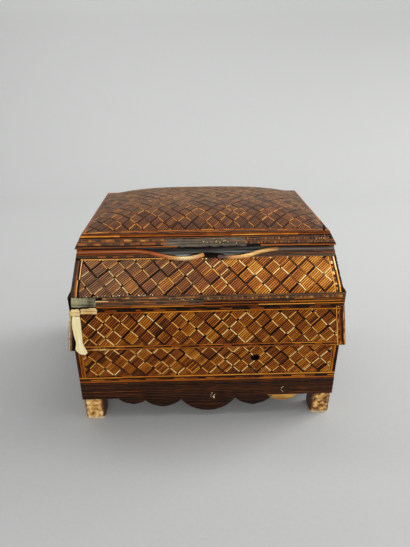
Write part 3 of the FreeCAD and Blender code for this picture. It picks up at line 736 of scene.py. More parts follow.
def paper_finish():
    """Matt seamless background paper."""
    material, tree, shader = new_finish("background_paper")
    if tree is None:
        return material
    spot = node(tree, "TexCoord").outputs["Object"]
    pulp = node(tree, "TexNoise", {"Scale": 260.0, "Detail": 3.0}, Vector=spot)
    tint = bpy.context.scene.straw_box_stage.paper
    darker = tuple(part * 0.97 for part in tint)
    shade = ramp(tree, pulp, (0.3, darker), (0.7, tint))
    wire(tree, shader, {"Roughness": 0.9, "Specular IOR Level": 0.2}, Base_Color=shade)
    return material


# Faces of the box that the straw lies on
LEDGE_LOW, LEDGE_HIGH = corners("ledge_front")
SKIRT_LOW, SKIRT_HIGH = corners("skirt_front")
LEFT_SKIRT_LOW = corners("skirt_left")[0]
DRAWER_LOW, DRAWER_HIGH = corners("drawer_front")
BACK_LOW, BACK_HIGH = corners("upper_back")
LID_LOW, LID_HIGH = corners("lid_front")
APRON_HIGH = corners("apron_front")[1]
BASE_LOW = corners("base_board")[0]
UPPER = BACK_HIGH[0]
LOWER = DRAWER_HIGH[0]
FRONT = DRAWER_LOW[1]
BACK = BACK_HIGH[1]
RIM = BACK_HIGH[2]
SLOPE_START = LEDGE_HIGH[2]
LEDGE_FACE_TOP = SLOPE_START - 4
BEVEL_LENGTH = math.hypot(FRONT - LEDGE_LOW[1], SLOPE_START - LEDGE_FACE_TOP)
LID_HALF = LID_HIGH[0]
LID_RIM = LID_LOW[2]
BAND_TOP = LID_HIGH[2]
BAND_RUN = 6.5
LID_FRONT = LID_LOW[1]
DOME_HEIGHT = 17.0
SLOPE_RUN = 36.0
SLOPE_RISE = 24.0
SLOPE_LENGTH = 45.5
NOTCH_HALF_WIDTH = 72.0
NOTCH_LOW_PLACE = 23.0
NOTCH_DROP = 9.5
NOTCH_CUSP_DROP = 4.0
FOOT_HEIGHT = 27.0
APRON_WALL = 5.0
APRON_FOOT = APRON_HIGH[2] - 21.0
RIB = 2.1
HOLE_PLACE = 48.0
HOLE_HEIGHT = 76.0
HOLE_RADIUS = 2.5
SIDE_LOBES = [(0, 60, 18.7), (48, 42, 11.7), (-48, 42, 11.7)]
LOST_LOBE = (79, 32, 7.5)
LOBES = [*SIDE_LOBES, LOST_LOBE, (-79, 32, 7.5)]


def notch_edge(across):
    """Top edge of the slope: two even arcs down to a low point, then an arc up to the cusp."""
    wide, low, drop = NOTCH_HALF_WIDTH, NOTCH_LOW_PLACE, NOTCH_DROP
    sweep = ((wide - low) ** 2 + drop ** 2) / (4 * drop)
    rise = drop - NOTCH_CUSP_DROP
    climb = (low ** 2 + rise ** 2) / (2 * rise)
    place = np.abs(across)

    def fall(radius, offset):
        return radius - np.sqrt(np.maximum(radius ** 2 - offset ** 2, 0))

    upper = SLOPE_LENGTH - fall(sweep, place - wide)
    lower = SLOPE_LENGTH - drop + fall(sweep, place - low)
    inner = SLOPE_LENGTH - drop + fall(climb, place - low)
    edge = np.where(place > (wide + low) / 2, upper, np.where(place > low, lower, inner))
    return np.where(place > wide, SLOPE_LENGTH, edge)


def lobe_radius(wide, drop):
    """Radius of the arc that is so wide and hangs so far."""
    return (wide ** 2 / 4 + drop ** 2) / (2 * drop)


def lobe_shape(centre, wide, drop):
    """How far a place lies inside a lobe: a disc cut off at the foot of the apron's band."""
    radius = lobe_radius(wide, drop)

    def depth(across, up):
        disc = radius - np.hypot(across - centre, up - (APRON_FOOT - drop + radius))
        return np.minimum(disc, APRON_FOOT - up)

    return depth


def skirt_front_face():
    """Outer face of the front skirt board, from its bottom edge."""
    lean = LEDGE_LOW[1] - SKIRT_LOW[1]
    return Flat((0, SKIRT_LOW[1], SKIRT_LOW[2]), (1, 0, 0), (0, lean, SKIRT_HIGH[2] - SKIRT_LOW[2]))


def slope_face():
    """Outer face of the slanting panel, from its bottom edge."""
    return Flat((0, FRONT, SLOPE_START), (1, 0, 0), (0, SLOPE_RUN, SLOPE_RISE))


def bevel_face():
    """Front bevel of the ledge, from its top edge, which is the bottom edge of the slope."""
    return Flat((0, FRONT, SLOPE_START), (1, 0, 0), (0, FRONT - LEDGE_LOW[1], SLOPE_START - LEDGE_FACE_TOP))


def lid_front_face():
    """Outer face of the front band of the lid, from its rim."""
    return Flat((0, LID_FRONT, LID_RIM), (1, 0, 0), (0, BAND_RUN, BAND_TOP - LID_RIM))


def lid_dome():
    """Outer face of the cushion-shaped panel of the lid."""
    near = LID_FRONT + BAND_RUN
    return Cushion((near + BACK) / 2, LID_HALF - BAND_RUN, (BACK - near) / 2, BAND_TOP, DOME_HEIGHT)


class STRAWBOX_OT_slope(bpy.types.Operator):
    """Straw on the slanting panel and the bevel below it: diamonds, a chequer and borders."""

    bl_idname = "strawbox.slope"
    bl_label = "Slope straw"

    def execute(self, context):
        rng = np.random.default_rng(11)
        face, foot = slope_face(), bevel_face()
        field_top = 34.5
        field_side = 119.0
        height = SLOPE_LENGTH
        reach = LEDGE_HIGH[0]
        panel = within((-UPPER, 0), (UPPER, 0), (UPPER, height), (-UPPER, height))
        bevel = within((-reach, -BEVEL_LENGTH), (reach, -BEVEL_LENGTH), (UPPER, 0), (-UPPER, 0))

        def inside(across, up):
            return np.minimum(panel(across, up), notch_edge(across) - 0.4 - up)

        # Lighter towards the right: a painted sheen, as of the overhead lamp on the glossy straw, over a
        # small even tone.
        def tone_and_painted_light(across, up):
            return 0.02 + 0.22 * np.clip(across / UPPER, -0.2, 1)

        def haze(across, up):
            return np.clip(0.22 - across / 260, 0.08, 0.6)

        extent = (-field_side, -BEVEL_LENGTH, field_side, field_top)
        field = lattice(
            rng, extent, (30.7, 32.1), (0.9, 0.2, 0.42, 0.42), tone_and_painted_light, haze, ((9.4, 9.0), (-7.2, 9.0))
        )
        edge = within((-field_side, 0), (field_side, 0), (field_side, field_top), (-field_side, field_top))
        lower = within(
            (-field_side, -BEVEL_LENGTH), (field_side, -BEVEL_LENGTH), (field_side, 0), (-field_side, 0)
        )
        lay("slope_diamonds", "case", field, face, lambda x, y: np.minimum(edge(x, y), inside(x, y)))
        lay("slope_diamonds_foot", "case", field, foot, lower)
        left, right = -UPPER, UPPER
        rows = [
            rule(rng, (left + 5, 34.6), (1, 0), 127 - 35, 1.2, 0.74, dust=0.2),
            rule(rng, (left + 5, 35.9), (1, 0), 127 - 32, 0.8, 0.08),
            dashes(rng, (left, 36.8), (1, 0), 127 - 34, 2.6, (0.08, 0.34, 0.2, 0.4), 6.5, dust=0.3),
            rule(rng, (left, 39.5), (1, 0), 90, 2.1, 0.3, dust=0.2),
        ]
        for level, tone in ((34.6, 0.34), (36.4, 0.2), (38.2, 0.36), (40.0, 0.22), (41.8, 0.3)):
            rows.append(rule(rng, (31, level), (1, 0), right - 31, 1.6, tone, 40, dust=0.35))
        lay("slope_rows", "case", together(rows), face, inside)
        ends = []
        line = -BEVEL_LENGTH
        tall = 34.2 + BEVEL_LENGTH
        for offset, tone, width in ((7.0, 0.74, 1.2), (3.6, 0.4, 1.0), (1.9, 0.95, 1.6), (0.2, 0.08, 1.5)):
            ends.append(rule(rng, (right - offset, line), (0, 1), tall, width, tone, 22, 0.12))
        ends.append(dashes(
            rng, (right - 4.7, line), (0, 1), tall, 2.2, (0.3, 0.62, 0.14, 0.9, 0.4), 2.4, slack=0.6
        ))
        ends.append(rule(rng, (-LEDGE_HIGH[0] + 2.9, line), (0, 1), BEVEL_LENGTH, 2.8, 0.06, 26, 0.05))
        ends.append(rule(rng, (LEDGE_HIGH[0], line), (0, 1), BEVEL_LENGTH, 2.8, 0.16, 26, 0.05))
        for place, start, stop, tone, width in (
            (-124.5, -BEVEL_LENGTH, 34.2, 0.03, 2.4), (-122.6, -BEVEL_LENGTH, 34.2, 0.26, 1.7),
            (-120.0, 13.0, 36.0, 0.84, 1.1), (-121.4, -BEVEL_LENGTH, 12.4, 0.8, 1.0),
            (-118.8, -BEVEL_LENGTH, 34.2, 0.22, 1.0),
        ):
            ends.append(rule(rng, (place, start), (0, 1), stop - start, width, tone, 26, 0.08, 0.2))
        ends = together(ends)
        lay("slope_borders", "case", ends, face, inside)
        lay("slope_borders_foot", "case", ends, foot, bevel)
        return {"FINISHED"}


class STRAWBOX_OT_skirt(bpy.types.Operator):
    """Straw on the front skirt board: diamonds between rows of line and dash."""

    bl_idname = "strawbox.skirt"
    bl_label = "Skirt straw"

    def execute(self, context):
        rng = np.random.default_rng(12)
        face = skirt_front_face()
        low, high = SKIRT_HIGH[0], UPPER - 0.2
        height = SKIRT_HIGH[2] - SKIRT_LOW[2]
        torn = -121.6
        board = within((torn, 0), (low, 0), (high, height), (torn + 1.2, height))
        bottom, top, end = 4.9, 40.6, 5.6
        inner = within((torn, bottom), (low - end, bottom), (high - end, top), (torn, top))

        def inside(across, up):
            return np.minimum(board(across, up), inner(across, up))

        field = lattice(
            rng, (torn, bottom, low, top), (4.6, 39.4), (0.92, 0.6, 0.7, 0.62),
            lambda x, y: 0.02 + 0.04 * x / low, even(0.04),
        )
        lay("skirt_diamonds", "case", field, face, inside)
        rows = [
            rule(rng, (torn, 0.1), (1, 0), 34, 1.5, 0.8, 9, 0.12, 0.25),
            rule(rng, (torn + 34, 0.1), (1, 0), 2 * low, 1.5, 0.46, 30, 0.12, 0.1),
            dashes(rng, (torn, 1.7), (1, 0), 2 * low, 1.6, (0.05, 0.4, 0.12), 8),
            rule(rng, (torn, 3.4), (1, 0), 2 * low, 1.3, 0.52, spread=0.12),
            rule(rng, (torn, top + 0.1), (1, 0), 17, 1.7, 0.92),
            rule(rng, (torn + 17.3, top + 0.1), (1, 0), 2 * high, 1.6, 0.56, spread=0.09),
            dashes(rng, (torn + 17, top + 1.9), (1, 0), 2 * high, 2.2, (0.02, 0.3, 0.1), 9, slack=0.6),
        ]
        lean = np.array([high - low, height])
        for offset, tone, width in ((1.1, 0.3, 0.9), (2.4, 0.44, 1.1), (3.9, 0.36, 1.2), (5.2, 0.7, 1.1)):
            start = (low - offset + width, 0)
            rows.append(rule(rng, start, lean, height, width, tone, 28, spread=0.08))
        rows.append(dashes(
            rng, (low - 2.5, 0), lean, height, 0.6, (0.9, 0.3, 0.16), 2.8, slack=0.6, lift=0.42
        ))
        lay("skirt_borders", "case", together(rows), face, board)
        outer, head = -LEFT_SKIRT_LOW[0], LEDGE_HIGH[0]
        end_board = within((low + 0.2, 0), (outer, 0), (head, height), (high + 0.2, height))
        lean = np.array([head - outer, height])
        rows = [
            dashes(rng, (outer - 0.2, 0), lean, height, 1.1, (0.66, 0.84, 0.5, 0.74), 6, slack=0.6),
            rule(rng, (outer - 1.5, 0), lean, height, 1.6, 0.12, 20),
        ]
        lay("skirt_end_straw", "case", together(rows), face, end_board)
        return {"FINISHED"}


class STRAWBOX_OT_ledge(bpy.types.Operator):
    """Straw rows on the ledge round the front and the sides."""

    bl_idname = "strawbox.ledge"
    bl_label = "Ledge straw"

    def execute(self, context):
        reach = LEDGE_HIGH[0]
        out = LEDGE_LOW[1]
        height = LEDGE_FACE_TOP - LEDGE_LOW[2]
        depth = BACK - FRONT
        rng = np.random.default_rng(20)
        front = Flat((0, out, LEDGE_LOW[2]), (1, 0, 0), (0, 0, 1))
        first, middle = -105.0, -4.0
        length = reach - first
        dull = middle - first
        bright = reach - middle
        self.mitred(reach, out, height)
        rows = [
            rule(rng, (first, 8.3), (1, 0), 12.3, 1.0, 0.95, spread=0.02),
            dashes(rng, (first, 0.1), (1, 0), length, 1.5, (0.03, 0.3, 0.1), 11, slack=0.6),
            rule(rng, (first, 1.8), (1, 0), length, 1.5, 0.54, 40, 0.1),
            rule(rng, (first, 3.5), (1, 0), dull, 1.5, 0.4, 40, 0.08, 0.4),
            dashes(rng, (first, 5.1), (1, 0), dull, 2.0, (0.05, 0.3, 0.4), 9, 0.35, 0.6),
            rule(rng, (first, 7.2), (1, 0), dull, 1.9, 0.4, 16, 0.14, 0.5),
            rule(rng, (first, 9.3), (1, 0), dull, 1.3, 0.1, 20, 0.1, 0.5),
            dashes(rng, (first + 7, 10.8), (1, 0), dull - 7, 1.9, (0.7, 0.36, 0.2, 0.56), 6, 0.45, 0.6),
            rule(rng, (middle, 3.5), (1, 0), bright, 0.9, 0.1),
            rule(rng, (middle, 4.5), (1, 0), bright, 1.9, 0.44, 40, 0.1, 0.1),
            rule(rng, (middle, 6.5), (1, 0), bright, 0.8, 0.08),
            rule(rng, (middle, 7.4), (1, 0), bright, 1.2, 0.34, 30, 0.1, 0.3),
            dashes(rng, (middle, 8.7), (1, 0), bright, 2.6, (0.36, 0.7, 0.16, 0.5, 0.24), 2.3, 0.4, 0.6),
            rule(rng, (middle, 11.4), (1, 0), bright, 1.3, 0.34, 30, 0.1, 0.5),
            rule(rng, (first, 12.8), (1, 0), length, 1.1, 0.24, 30, 0.1, 0.5),
        ]
        shape = within((-reach, 0), (reach, 0), (reach, height), (-reach, height))
        lay("ledge_rows_front", "case", together(rows), front, shape)
        for number, sign in enumerate((1, -1)):
            side = "right" if sign > 0 else "left"
            rng = np.random.default_rng(21 + number)
            begin = FRONT if sign > 0 else BACK
            upright = Flat((sign * reach, begin, LEDGE_LOW[2]), (0, sign, 0), (0, 0, 1))
            rise = SLOPE_START - LEDGE_FACE_TOP
            slant = Flat(
                (sign * reach, begin, LEDGE_FACE_TOP), (0, sign, 0), (sign * (UPPER - reach), 0, rise)
            )
            rows = [
                rule(rng, (0, 0.1), (1, 0), depth, 1.7, 0.55),
                dashes(rng, (0, 1.9), (1, 0), depth, 1.5, (0.03, 0.38, 0.1), 9),
                rule(rng, (0, 3.5), (1, 0), depth, 2.2, 0.5),
                rule(rng, (0, 5.8), (1, 0), depth, 1.8, 0.44),
                dashes(rng, (0, 7.7), (1, 0), depth, 2.6, (0.5, 0.1, 0.28), 5.2, dust=0.35),
                rule(rng, (0, 10.4), (1, 0), depth, 1.4, 0.4, dust=0.4),
                dashes(rng, (0, 11.9), (1, 0), depth, 2.0, (0.12, 0.4), 3.4, dust=0.55),
            ]
            shape = within((0, 0), (depth, 0), (depth, height), (0, height))
            lay(f"ledge_rows_{side}", "case", together(rows), upright, shape)
            rows = [
                dashes(rng, (0, 0.1), (1, 0), depth, 2.2, (0.2, 0.46, 0.1), 4.2, dust=0.55),
                rule(rng, (0, 2.4), (1, 0), depth, 2.2, 0.24, 45, dust=0.5),
            ]
            shape = within((0, 0), (depth, 0), (depth, BEVEL_LENGTH), (0, BEVEL_LENGTH))
            lay(f"ledge_bevel_{side}", "case", together(rows), slant, shape)
        return {"FINISHED"}

    def mitred(self, reach, out, height):
        """The front moulding with its bevel mitred at both ends, in place of the square-ended one."""
        low, face_top, top = LEDGE_LOW[2], LEDGE_LOW[2] + height, SLOPE_START
        points = [
            (-reach, out, low), (reach, out, low), (reach, FRONT, low), (-reach, FRONT, low),
            (-reach, out, face_top), (reach, out, face_top), (reach, FRONT, face_top),
            (-reach, FRONT, face_top), (UPPER, FRONT, top), (-UPPER, FRONT, top),
        ]
        faces = [
            (0, 3, 2, 1), (0, 1, 5, 4), (1, 2, 6, 5), (3, 0, 4, 7), (4, 5, 8, 9), (5, 6, 8), (7, 4, 9),
            (2, 3, 7, 9, 8, 6),
        ]
        mesh = bpy.data.meshes.new("mitred_ledge_front")
        mesh.from_pydata((np.array(points) * MM).tolist(), [], faces)
        piece = finish_piece("mitred_ledge_front", mesh, "case", glue_finish())
        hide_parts("ledge_front")


class STRAWBOX_OT_drawer(bpy.types.Operator):
    """Straw on the drawer front, cut round the hole of the lost knob."""

    bl_idname = "strawbox.drawer"
    bl_label = "Drawer straw"

    def execute(self, context):
        rng = np.random.default_rng(31)
        low = DRAWER_LOW[2]
        height = DRAWER_HIGH[2] - low
        face = Flat((0, FRONT, low), (1, 0, 0), (0, 0, 1))
        board = within((-LOWER, 0), (LOWER, 0), (LOWER, height), (-LOWER, height))
        bottom, top, end = 8.2, height - 2.2, 7.0
        side = LOWER - end
        inner = within((-side, bottom), (side, bottom), (side, top), (-side, top))
        hole = np.array([HOLE_PLACE, HOLE_HEIGHT - low])

        def inside(across, up):
            clear = np.hypot(across - hole[0], (up - hole[1]) * 1.25) - HOLE_RADIUS - 2.3
            return np.minimum(np.minimum(board(across, up), inner(across, up)), clear)

        field = lattice(
            rng, (-side, bottom, side, top), (1.0, 57.5 - low), (0.8, 0.62, 0.76, 0.62),
            lambda x, y: 0.02 + 0.02 * x / LOWER, even(0.03), ((8.1, 8.5), (-8.1, 8.5)),
        )
        field = parted(field, hole)
        lay("drawer_diamonds", "drawer", field, face, inside)
        rows = [
            rule(rng, (-LOWER, 0.1), (1, 0), 2 * LOWER, 2.4, 0.46),
            dashes(rng, (-LOWER, 2.6), (1, 0), 2 * LOWER, 1.7, (0.03, 0.42, 0.3), 10),
            rule(rng, (-LOWER, 4.4), (1, 0), 2 * LOWER, 1.2, 0.16),
            rule(rng, (-LOWER, 5.7), (1, 0), 2 * LOWER, 1.7, 0.62),
            rule(rng, (-LOWER, top + 0.1), (1, 0), 2 * LOWER, 2.0, 0.4),
        ]
        for sign in (-1, 1):
            for offset, tone, width in ((0.2, 0.14, 2.2), (2.5, 0.5, 2.2), (4.8, 0.3, 0.8), (5.7, 0.62, 1.1)):
                start = sign * (LOWER - offset) + (width if sign < 0 else 0)
                rows.append(rule(rng, (start, 7.5), (0, 1), top - 7.5, width, tone, 25, spread=0.1))
        lay("drawer_borders", "drawer", together(rows), face, board)
        round_points = 40
        angles = np.linspace(0, 2 * math.pi, round_points, endpoint=False)
        worn = 4.9 + 0.35 * np.sin(3 * angles) + rng.normal(0, 0.12, round_points)
        ring("knob_hole_glue", "drawer", face, hole, HOLE_RADIUS + 0.1, worn, 0.25, glue_finish())
        # A dark lining down the bore: grime, and a painted shade that keeps the hole black.
        bore = np.full(round_points, HOLE_RADIUS - 0.02)
        ring("knob_hole_grime_and_shade", "drawer", face, hole, HOLE_RADIUS - 0.3, bore, 0.1, glue_finish(), -7.5)
        return {"FINISHED"}


def parted(field, hole):
    """Straws that run over a hole, parted there into the stretch before it and the one after."""
    to_hole = hole - field["origin"] - field["wide"] / 2
    length = np.linalg.norm(field["along"], axis=1)
    share = (to_hole * field["along"]).sum(axis=1) / length ** 2
    off = np.abs(to_hole[:, 0] * field["along"][:, 1] - to_hole[:, 1] * field["along"][:, 0]) / length
    cut = (off < HOLE_RADIUS + 2.4) & (share > 0.02) & (share < 0.98)
    before = {key: value[cut].copy() for key, value in field.items()}
    after = {key: value[cut].copy() for key, value in field.items()}
    before["along"] = before["along"] * share[cut][:, None]
    after["origin"] = after["origin"] + after["along"] * share[cut][:, None]
    after["along"] = after["along"] * (1 - share[cut])[:, None]
    rest = {key: value[~cut] for key, value in field.items()}
    return together([rest, before, after])


class STRAWBOX_OT_lid(bpy.types.Operator):
    """Straw on the lid: diamonds over the dome, chequer rows round its band."""

    bl_idname = "strawbox.lid"
    bl_label = "Lid straw"

    def execute(self, context):
        half = LID_HALF - BAND_RUN
        near = LID_FRONT + BAND_RUN
        deep = (BACK - near) / 2
        dome = lid_dome()
        rng = np.random.default_rng(41)
        x, y = half - 0.3, deep - 0.3
        edge = within((-x, -y), (x, -y), (x, y), (-x, y))
        x, y = half - 3.6, deep - 3.2
        inner = within((-x, -y), (x, -y), (x, y), (-x, y))

        # Share that rises towards each side of the dome, where it is painted darker and greyer: a painted
        # shade where the dome turns away from the light.
        def shoulder(across):
            return np.clip((np.abs(across) - half + 14) / 10, 0, 1)

        # Darker all over as the straw's own tone, a little darker towards the back, and painted shade at the
        # shoulders.
        def tone_and_painted_light(across, up):
            return -0.12 - 0.04 * (up / deep) - 0.1 * shoulder(across)

        # More dusty bloom towards the back and at the shoulders: real dusty bloom, with a painted grey
        # reflection of the wall towards the back and painted shade at the shoulders.
        def haze(across, up):
            return np.clip(0.66 + 0.4 * up / deep + 0.3 * shoulder(across), 0.25, 0.97)

        field = lattice(
            rng, (-half, -deep, half, deep), (48.3, -43.4), (0.56, 0.36, 0.52, 0.36), tone_and_painted_light, haze,
            ((6.9, 7.4), (-6.9, 7.4)),
        )
        calm = 0.295 + 0.42 * (field["tone"] - 0.33)
        field["tone"] = np.where(field["tone"] < 0.5, calm, 0.8 * field["tone"])
        lay("dome_diamonds", "lid", field, dome, inner, rings=4)
        rows = []
        for start, way, length in (
            ((-half, -deep + 0.4), (1, 0), 2 * half),
            ((half - 0.4, -deep), (0, 1), 2 * deep),
            ((half, deep - 0.4), (-1, 0), 2 * half),
            ((-half + 0.4, deep), (0, -1), 2 * deep),
        ):
            rows.append(rule(rng, start, way, length, 1.3, 0.34, 9, dust=0.3))
            side = np.array([-way[1], way[0]])
            rows.append(rule(rng, np.array(start) + side * 1.4, way, length, 1.3, 0.46, 9, dust=0.15))
        # A short pale straw at the front left of the dome's border: a painted highlight of the varnish shine
        # there.
        rows.append(rule(rng, (-half + 4, -deep + 1.9), (1, 0), 15, 1.1, 0.85, 6, 0.1))
        lay("dome_borders", "lid", together(rows), dome, edge, rings=3)

        lean = math.hypot(BAND_RUN, BAND_TOP - LID_RIM)
        front = lid_front_face()
        whole = within((-LID_HALF, 0), (LID_HALF, 0), (half, lean), (-half, lean))
        self.band("lid_band_front", rng, front, -LID_HALF, LID_HALF, whole, (-41, 37))
        depth = BACK - LID_FRONT
        right = Flat((LID_HALF, LID_FRONT, LID_RIM), (0, 1, 0), (-BAND_RUN, 0, BAND_TOP - LID_RIM))
        shape = within((0, 0), (depth, 0), (depth, lean), (BAND_RUN, lean))
        self.band("lid_band_right", rng, right, 0, depth, shape)
        left = Flat((-LID_HALF, BACK, LID_RIM), (0, -1, 0), (BAND_RUN, 0, BAND_TOP - LID_RIM))
        shape = within((0, 0), (depth, 0), (depth - BAND_RUN, lean), (0, lean))
        self.band("lid_band_left", rng, left, 0, depth, shape)
        height = BAND_TOP - LID_RIM
        rear = Flat((0, BACK, LID_RIM), (-1, 0, 0), (0, 0, 1))
        shape = within((-LID_HALF, 0), (LID_HALF, 0), (half, height), (-half, height))
        self.band("lid_band_back", rng, rear, -LID_HALF, LID_HALF, shape)
        return {"FINISHED"}

    def band(self, name, rng, face, start, stop, inside, bare=None):
        """Rows of one band, from the rim up; bare gives the stretch that lost its straw."""
        length = stop - start
        first_tones = (0.06, 0.42, 0.34, 0.14, 0.46, 0.3, 0.5)
        second_tones = (0.38, 0.05, 0.44, 0.3, 0.1, 0.54, 0.34)
        rows = [
            rule(rng, (start, 0.1), (1, 0), length, 1.6, 0.5, 45, 0.1, 0.15),
            rule(rng, (start, 1.8), (1, 0), length, 0.8, 0.14),
            dashes(rng, (start, 2.7), (1, 0), length, 2.5, first_tones, 4.8, 0.35, 0.7),
            rule(rng, (start, 5.3), (1, 0), length, 0.8, 0.46, dust=0.3),
            dashes(rng, (start, 6.2), (1, 0), length, 2.6, second_tones, 4.3, 0.35, 0.7),
            rule(rng, (start, 8.9), (1, 0), length, 1.1, 0.34, dust=0.3),
            rule(rng, (start, 10.1), (1, 0), length, 0.7, 0.08),
            rule(rng, (start, 10.9), (1, 0), length, 1.7, 0.5, 45, 0.1),
            rule(rng, (start, 12.7), (1, 0), length, 1.1, 0.34),
        ]
        if bare:
            rows[2] = dashes(
                rng, (start, 2.7), (1, 0), length / 2, 2.5, (0.05, 0.4, 0.44, 0.05, 0.36, 0.48),
                4.4, 0.35, 0.7,
            )
            rows[4] = dashes(
                rng, (start, 6.2), (1, 0), length / 2, 2.6, (0.42, 0.05, 0.46, 0.36, 0.58), 3.6, 0.35, 0.7
            )
            middle = start + length / 2
            rows.append(dashes(
                rng, (middle, 2.7), (1, 0), length / 2, 2.5, (0.06, 0.46, 0.2, 0.38), 1.6, 0.4, 0.6
            ))
            rows.append(dashes(
                rng, (middle, 6.2), (1, 0), length / 2, 2.6, (0.5, 0.08, 0.36, 0.18), 1.5, 0.4, 0.6
            ))
        rows = together(rows)
        if bare:
            middle = rows["origin"] + rows["along"] / 2
            between = (middle[:, 0] > bare[0]) & (middle[:, 0] < bare[1])
            lost = between & (rows["origin"][:, 1] < 8.8)
            rows = {key: value[~lost] for key, value in rows.items()}
        lay(name, "lid", rows, face, inside)


def cover(name, body, rng, face, start, stop, height, outline, border):
    """Diamonds inside a border: a line and a dashed row above and below, three lines at each end."""
    inner = within(
        (start + 5, border), (stop - 5, border), (stop - 5, height - border), (start + 5, height - border)
    )

    def inside(across, up):
        return np.minimum(inner(across, up), outline(across, up))

    extent = (start, border, stop, height - border)
    field = lattice(rng, extent, (start, border), (0.7, 0.5, 0.6, 0.5), None, even(0.12))
    lay(name, body, field, face, inside)
    length = stop - start
    half = border / 2
    rows = []
    for level in (0.1, height - border):
        rows.append(dashes(rng, (start, level), (1, 0), length, half, (0.06, 0.42, 0.14), 7))
        rows.append(rule(rng, (start, level + half + 0.1), (1, 0), length, half - 0.2, 0.55))
    for place, tone in ((start + 1.6, 0.22), (start + 3.2, 0.5), (start + 4.8, 0.3)):
        rows.append(rule(rng, (place, border), (0, 1), height - 2 * border, 1.5, tone, 24))
    for place, tone in ((stop, 0.22), (stop - 1.6, 0.5), (stop - 3.2, 0.3)):
        rows.append(rule(rng, (place, border), (0, 1), height - 2 * border, 1.5, tone, 24))
    lay(name + "_borders", body, together(rows), face, outline)


class STRAWBOX_OT_sides(bpy.types.Operator):
    """Straw on both sides: upper side, skirt board and lower side, with the drawer's end."""

    bl_idname = "strawbox.sides"
    bl_label = "Side straw"

    def execute(self, context):
        depth = BACK - FRONT
        for number, sign in enumerate((-1, 1)):
            rng = np.random.default_rng(50 + number)
            name = "left" if sign < 0 else "right"
            run = (0, sign, 0)
            begin = BACK if sign < 0 else FRONT

            def ahead(distance):
                return depth - distance if sign < 0 else distance

            upper = Flat((sign * UPPER, begin, SLOPE_START), run, (0, 0, 1))
            high = RIM - SLOPE_START
            rise = SLOPE_LENGTH * SLOPE_RISE / math.hypot(SLOPE_RUN, SLOPE_RISE)
            along = SLOPE_LENGTH * SLOPE_RUN / math.hypot(SLOPE_RUN, SLOPE_RISE)
            tall = [(ahead(along), 0), (ahead(depth), 0), (ahead(depth), high), (ahead(along), high)]
            wedge = [(ahead(0), 0), (ahead(depth), 0), (ahead(depth), rise), (ahead(along), rise)]
            tall = within(*tall[::sign])
            wedge = within(*wedge[::sign])

            def outline(across, up, tall=tall, wedge=wedge):
                return np.maximum(tall(across, up), wedge(across, up))

            cover(f"upper_side_straw_{name}", "case", rng, upper, 0, depth, high, outline, 3.2)

            lean = SKIRT_HIGH[2] - SKIRT_LOW[2]
            wide = -LEFT_SKIRT_LOW[0]
            skirt = Flat((sign * wide, begin, SKIRT_LOW[2]), run, (sign * (LEDGE_HIGH[0] - wide), 0, lean))
            tall = math.hypot(wide - LEDGE_HIGH[0], lean)
            front_low = SKIRT_LOW[1] - FRONT
            front_high = LEDGE_LOW[1] - FRONT
            far = ahead(depth)
            points = [(ahead(front_low), 0), (far, 0), (far, tall), (ahead(front_high), tall)]
            outline = within(*points[::sign])
            start = min(ahead(front_low), far)
            cover(
                f"skirt_straw_{name}", "case", rng, skirt, start, start + depth - front_low, tall,
                outline, 4.6,
            )

            edge = DRAWER_HIGH[1] - FRONT
            lower = Flat((sign * LOWER, begin, BASE_LOW[2]), run, (0, 0, 1))
            tall = BACK_LOW[2] - 3.4 - BASE_LOW[2]
            near = ahead(edge + 0.3)
            points = [(near, 0), (far, 0), (far, tall), (near, tall)]
            outline = within(*points[::sign])
            start = min(near, far)
            cover(
                f"lower_side_straw_{name}", "case", rng, lower, start, start + depth - edge, tall,
                outline, 5.4,
            )
            height = DRAWER_HIGH[2] - DRAWER_LOW[2]
            end = Flat((sign * LOWER, FRONT if sign > 0 else DRAWER_HIGH[1], DRAWER_LOW[2]), run, (0, 0, 1))
            places = (0.1, 1.35, 2.6, 3.8)
            rows = [rule(rng, (place + 1.1, 0), (0, 1), height, 1.1, 0.3, 22) for place in places]
            shape = within((0, 0), (edge, 0), (edge, height), (0, height))
            lay(f"drawer_end_straw_{name}", "drawer", together(rows), end, shape)
        return {"FINISHED"}


class STRAWBOX_OT_back(bpy.types.Operator):
    """Straw on the back, above and below the divider."""

    bl_idname = "strawbox.back"
    bl_label = "Back straw"

    def execute(self, context):
        rng = np.random.default_rng(61)
        level = BACK_LOW[2]
        upper = Flat((0, BACK, level), (-1, 0, 0), (0, 0, 1))
        height = RIM - level
        outline = within((-UPPER, 0), (UPPER, 0), (UPPER, height), (-UPPER, height))
        cover("upper_back_straw", "case", rng, upper, -UPPER, UPPER, height, outline, 5.0)
        lower = Flat((0, BACK, BASE_LOW[2]), (-1, 0, 0), (0, 0, 1))
        height = level - BASE_LOW[2]
        outline = within((-LOWER, 0), (LOWER, 0), (LOWER, height), (-LOWER, height))
        cover("lower_back_straw", "case", rng, lower, -LOWER, LOWER, height, outline, 5.0)
        return {"FINISHED"}


